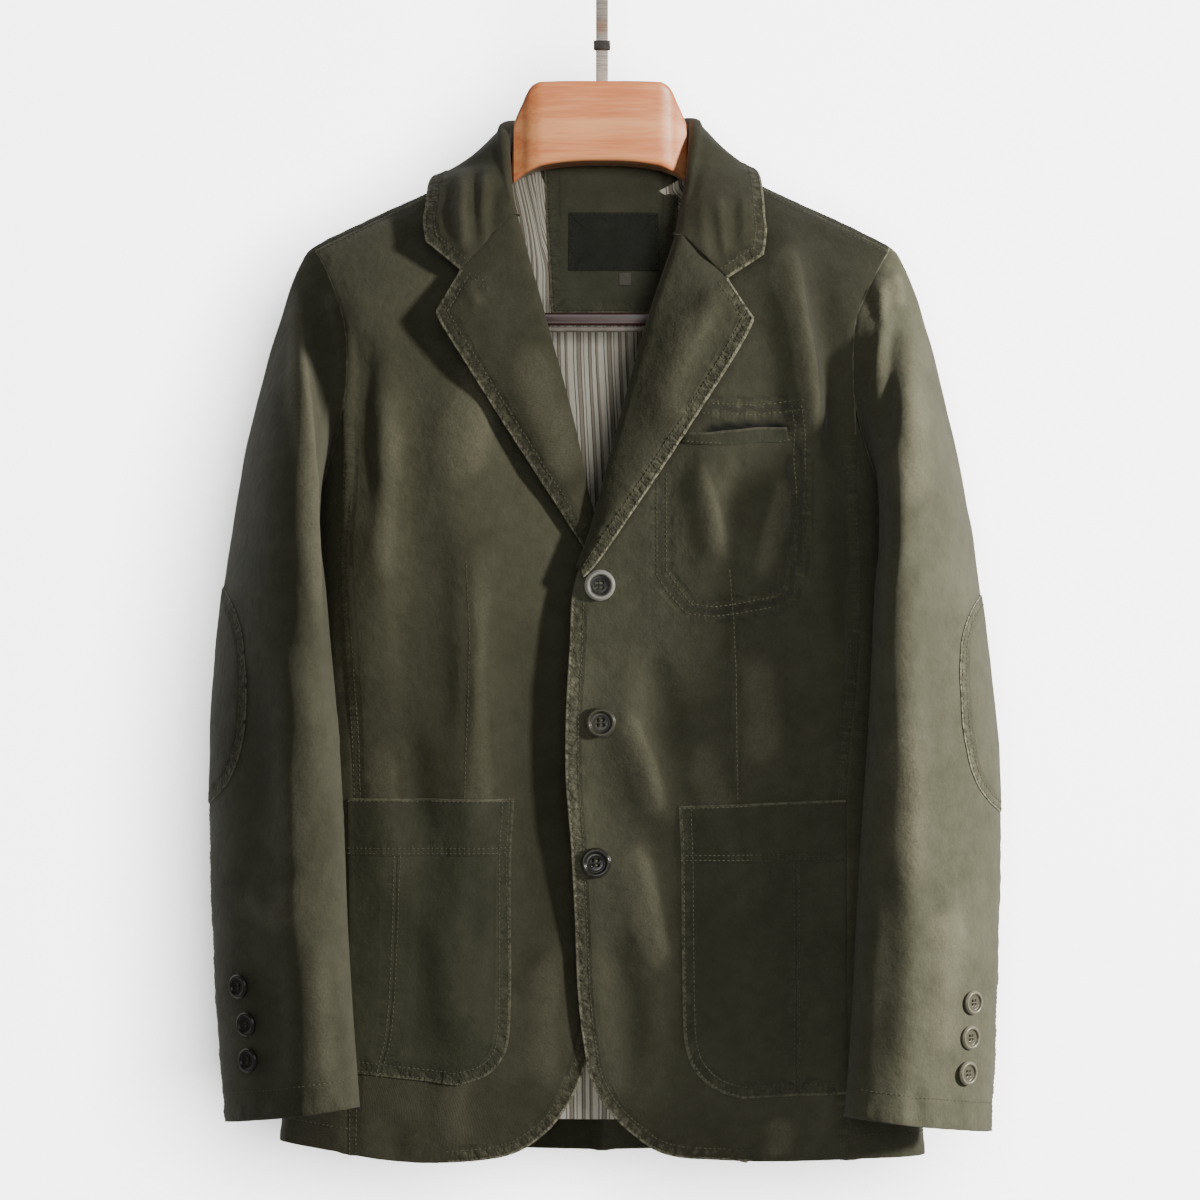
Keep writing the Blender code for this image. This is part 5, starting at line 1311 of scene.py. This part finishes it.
def make_hanger():
    """The wooden body, with sharp facets beside the neck and smooth arms."""
    mesh = copy_of("hanger")
    cloud = np.array([vert.co for vert in mesh.vertices]) / MM
    bpy.data.meshes.remove(mesh)
    stations = sorted({round(float(x), 2) for x in cloud[:, 0]})
    limits = []
    for x in stations:
        part = cloud[np.abs(cloud[:, 0] - x) < 0.05]
        limits.append((x, part[:, 1].min(), part[:, 1].max(), part[:, 2].min(), part[:, 2].max()))
    middle = 0.5 * (stations[0] + stations[-1])
    sharp = [index for index, x in enumerate(stations)
             if any(abs(abs(x - middle) - place) < 0.3 for place in HANGER_FACETS)]
    fine, _ = finer(np.array(limits)[:, None, :], HANGER_GRAIN, sharp)
    angles = np.arange(HANGER_CORNERS) * 2.0 * math.pi / HANGER_CORNERS
    verts = []
    for x, front, back, low, high in fine[:, 0]:
        square = 0.16 + 0.46 * float(ease((abs(x - middle) - 60.0) / 14.0))
        y_shape = np.sign(np.cos(angles)) * np.abs(np.cos(angles)) ** square
        z_shape = np.sign(np.sin(angles)) * np.abs(np.sin(angles)) ** square
        for y_share, z_share in zip(y_shape, z_shape):
            verts.append((x, 0.5 * (front + back) + 0.5 * (back - front) * y_share,
                          0.5 * (low + high) + 0.5 * (high - low) * z_share))
    numbers = np.arange(len(verts)).reshape(-1, HANGER_CORNERS)
    faces = np.stack([numbers[:-1], np.roll(numbers[:-1], -1, axis=1),
                      np.roll(numbers[1:], -1, axis=1), numbers[1:]], axis=-1).reshape(-1, 4).tolist()
    faces += [numbers[0, ::-1].tolist(), numbers[-1].tolist()]
    mesh = new_mesh("hanger_wood", verts, faces)
    shape = bmesh.new()
    shape.from_mesh(mesh)
    bmesh.ops.recalc_face_normals(shape, faces=shape.faces)
    shape.to_mesh(mesh)
    shape.free()
    mesh.shade_smooth()
    mesh.set_sharp_from_angle(angle=math.radians(24.0))
    new_piece("hanger_wood", mesh, wood, "hanger")


make_hanger()
rounded_copy("hook", 0.9, 3, steel)
rounded_copy("hook_ring", 0.7, 3, dark_steel)
rounded_copy("trouser_bar", 3.2, 6, bar_paint)
rounded_copy("bar_grip", 1.4, 4, grip_rubber)


# Stitches --------------------------------------------------------------------------------------

def stored(tree, name, kind):
    """A value that is kept for each point."""
    node = put(tree, "GeometryNodeInputNamedAttribute", {"Name": name}, data_type=kind)
    return next(item for item in node.outputs if item.enabled and item.name == "Attribute")


def stitch_tree():
    """Puts a small bead of thread, lying along its seam, on every point."""
    tree = bpy.data.node_groups.new("stitches", "GeometryNodeTree")
    sockets = {}
    for label, kind in (("Points", "Geometry"), ("Length", "Float"), ("Thickness", "Float"),
                        ("Thread", "Material")):
        item = tree.interface.new_socket(label, in_out="INPUT", socket_type="NodeSocket" + kind)
        sockets[label] = item.identifier
    tree.interface.new_socket("Stitches", in_out="OUTPUT", socket_type="NodeSocketGeometry")
    given = put(tree, "NodeGroupInput").outputs
    bead = put(tree, "GeometryNodeMeshIcoSphere", {"Radius": 0.5, "Subdivisions": 1}).outputs["Mesh"]
    size, along, out = (stored(tree, name, kind) for name, kind in (
        ("size", "FLOAT"), ("along", "FLOAT_VECTOR"), ("out", "FLOAT_VECTOR")))
    turn = put(tree, "FunctionNodeAxesToRotation", {"Primary Axis": along, "Secondary Axis": out},
               primary_axis="X", secondary_axis="Z").outputs[0]
    length = sums(tree, "MULTIPLY", given["Length"], size)
    scale = put(tree, "ShaderNodeCombineXYZ", [length, given["Thickness"], given["Thickness"]])
    beads = put(tree, "GeometryNodeInstanceOnPoints",
                {"Points": given["Points"], "Instance": bead, "Rotation": turn,
                 "Scale": scale.outputs[0]}).outputs[0]
    real = put(tree, "GeometryNodeRealizeInstances", [beads]).outputs[0]
    finished = put(tree, "GeometryNodeSetMaterial", {"Geometry": real, "Material": given["Thread"]})
    put(tree, "NodeGroupOutput", [finished.outputs[0]])
    return tree, sockets


def sew():
    """Turns the noted stitches into one mesh."""
    mesh = new_mesh("stitch_points", STITCHES["place"], [])
    for name in ("along", "out"):
        store(mesh, name, unit(np.array(STITCHES[name])), "FLOAT_VECTOR", "vector")
    store(mesh, "size", STITCHES["size"])
    points = in_scene("stitch_points", mesh)
    tree, sockets = stitch_tree()
    sewing = points.modifiers.new("Sewing", "NODES")
    sewing.node_group = tree
    sewing[sockets["Length"]] = STITCH_LENGTH * MM
    sewing[sockets["Thickness"]] = THREAD * MM
    sewing[sockets["Thread"]] = thread
    graph = bpy.context.evaluated_depsgraph_get()
    result = bpy.data.meshes.new_from_object(points.evaluated_get(graph))
    result.name = "stitching"
    bpy.data.objects.remove(points)
    bpy.data.meshes.remove(mesh)
    result.shade_smooth()
    new_piece("stitching", result, thread)


sew()


# Stage, light and camera -----------------------------------------------------------------------

LOOK_AT = Vector((-1.5, 0.0, -474.0)) * MM
CAMERA_AWAY = 3450.0
LENS = 138.8
FLOOR_Z = -1.3  # metres, as the rest of the stage
BACKDROP_Y = 0.17


def stage_plane(name, corners, material):
    mesh = bpy.data.meshes.new(name)
    mesh.from_pydata(corners, [], [(0, 1, 2, 3)])
    mesh.materials.append(material)
    plane = in_scene(name, mesh)
    return plane


def wall_material():
    """Plain white paper, which can't be seen from behind and throws little light on the coat."""
    material, tree, shader = new_material("backdrop_paper", Base_Color=(0.86, 0.86, 0.86, 1.0),
                                          Roughness=0.9)
    behind = put(tree, "ShaderNodeNewGeometry").outputs["Backfacing"]
    seen = put(tree, "ShaderNodeLightPath").outputs["Is Camera Ray"]
    dim = put(tree, "ShaderNodeBsdfDiffuse", {"Color": (0.1, 0.1, 0.1, 1.0)}).outputs[0]
    clear = put(tree, "ShaderNodeBsdfTransparent").outputs[0]
    front = put(tree, "ShaderNodeMixShader", [seen, dim, shader.outputs[0]]).outputs[0]
    both = put(tree, "ShaderNodeMixShader", [behind, front, clear])
    tree.links.new(both.outputs[0], tree.nodes["Material Output"].inputs["Surface"])
    return material


def studio_light(name, place, size, watts, colour, cone, aim):
    """A round lamp, or a spotlight if it has a cone, at a place seen from the coat's middle."""
    data = bpy.data.lights.new(name, "SPOT" if cone else "AREA")
    if cone:
        data.spot_size = math.radians(cone)
        data.spot_blend = 1.0
        data.shadow_soft_size = 0.5 * size
    else:
        data.shape = "DISK"
        data.size = size
    data.energy = watts
    data.color = colour
    light = in_scene(name, data)
    light.location = LOOK_AT + Vector(place)
    light.rotation_euler = (Vector(aim) - Vector(place)).to_track_quat("-Z", "Y").to_euler()
    return light


garment = [thing for thing in bpy.context.scene.objects if thing.type == "MESH"]
backdrop = stage_plane("backdrop", [(-4, BACKDROP_Y, FLOOR_Z), (4, BACKDROP_Y, FLOOR_Z),
                                    (4, BACKDROP_Y, 3.0), (-4, BACKDROP_Y, 3.0)], wall_material())
floor_paper, _, _ = new_material("floor_paper", Base_Color=(0.84, 0.84, 0.83, 1.0), Roughness=0.9)
stage_plane("floor", [(-4, -5, FLOOR_Z), (4, -5, FLOOR_Z), (4, 4, FLOOR_Z), (-4, 4, FLOOR_Z)],
            floor_paper)


def shine_on(light, things, name):
    """Lets a light reach only some things; all of them still cast its shadows."""
    lit = bpy.data.collections.new(name)
    for thing in things:
        lit.objects.link(thing)
    light.light_linking.receiver_collection = lit


# Pieces that share a light, by the starts of their names
LEFT_FRONT = ("front_left", "pocket_band_left", "pocket_front_left", "back_left",
              "pocket_side_left", "side_left", "chest_welt", "front_button")
RIGHT_FRONT = ("front_right", "lapel_right", "pocket_band_right", "pocket_front_right",
               "pocket_side_right", "side_right", "back_right")
LEFT_SLEEVE = ("topsleeve_left", "undersleeve_left", "elbow_patch_left", "cuff_button_left")
RIGHT_SLEEVE = ("topsleeve_right", "undersleeve_right", "elbow_patch_right", "cuff_button_right")
INSIDE = ("lining", "back_neck", "collar_stand", "label", "size_tab", "trouser_bar", "bar_grip")
WARM = (1.0, 0.985, 0.94)
WHITE = (1.0, 1.0, 1.0)
COOL = (0.97, 0.985, 1.0)
MIDDLE = (0.0, 0.0, 0.0)


def things_named(starts):
    return [thing for thing in garment if thing.name.startswith(starts)]


for name, place, size, watts, colour, starts, cone, aim in (
        ("key_left_sleeve", (3.0, -1.1, 0.55), 0.3, 195.0, WARM, LEFT_SLEEVE, 0, MIDDLE),
        ("key_right_sleeve", (3.1, -0.85, 0.55), 0.3, 122.0, WARM, RIGHT_SLEEVE, 0, MIDDLE),
        ("key_left_front", (3.0, -0.95, 0.4), 0.4, 390.0, WARM, LEFT_FRONT, 25, (0.05, 0.0, -0.26)),
        ("key_lapel", (2.95, -1.1, 0.45), 0.3, 92.0, WARM, ("lapel_left",), 0, MIDDLE),
        ("key_collar", (2.4, -1.8, 0.7), 0.3, 49.0, WARM, ("collar_cloth",), 0, MIDDLE),
        ("key_right_front", (2.15, -2.05, 0.7), 0.3, 46.0, WARM, RIGHT_FRONT, 0, MIDDLE),
        ("key_chest", (2.15, -2.05, 0.7), 0.3, 230.0, WARM, ("front_right",), 14, (-0.2, 0.0, 0.26)),
        ("key_stitching", (2.7, -1.5, 0.6), 0.3, 85.0, WARM, ("stitching",), 0, MIDDLE),
        ("key_hanger", (2.2, -2.0, 1.2), 0.5, 175.0, WARM, ("hanger", "hook"), 0, MIDDLE),
        ("inside_light", (0.5, -3.2, 0.35), 0.6, 32.0, WARM, INSIDE, 0, MIDDLE),
        ("inside_hem_light", (0.15, -3.2, -0.55), 0.5, 18.0, WARM, ("lining",), 0, MIDDLE),
        ("wall_light", (0.7, -3.8, 0.3), 2.4, 1200.0, WHITE, None, 0, MIDDLE),
        ("fill_left_front", (-0.2, -3.0, 0.3), 1.6, 13.0, COOL, LEFT_FRONT, 0, MIDDLE),
        ("fill_left_sleeve", (0.4, -3.0, 0.1), 1.6, 10.0, COOL, LEFT_SLEEVE, 0, MIDDLE),
        ("fill", (0.2, -3.0, 0.9), 2.0, 9.0, COOL, "", 0, MIDDLE)):
    light = studio_light(name, place, size, watts, colour, cone, aim)
    shine_on(light, [backdrop] if starts is None else things_named(starts), "lit_by_" + name)

world = bpy.data.worlds.new("studio")
world.use_nodes = True
sky = world.node_tree.nodes["Background"].inputs
sky["Color"].default_value = (0.93, 0.94, 0.95, 1.0)
sky["Strength"].default_value = 0.09
bpy.context.scene.world = world

lens = bpy.data.cameras.new("camera")
lens.lens = LENS
lens.sensor_width = 36.0
lens.clip_end = 50.0
camera = in_scene("camera", lens)
camera.location = LOOK_AT + Vector((0.0, -CAMERA_AWAY * MM, 0.0))
camera.rotation_euler = (math.radians(90.0), 0.0, 0.0)
bpy.context.scene.camera = camera
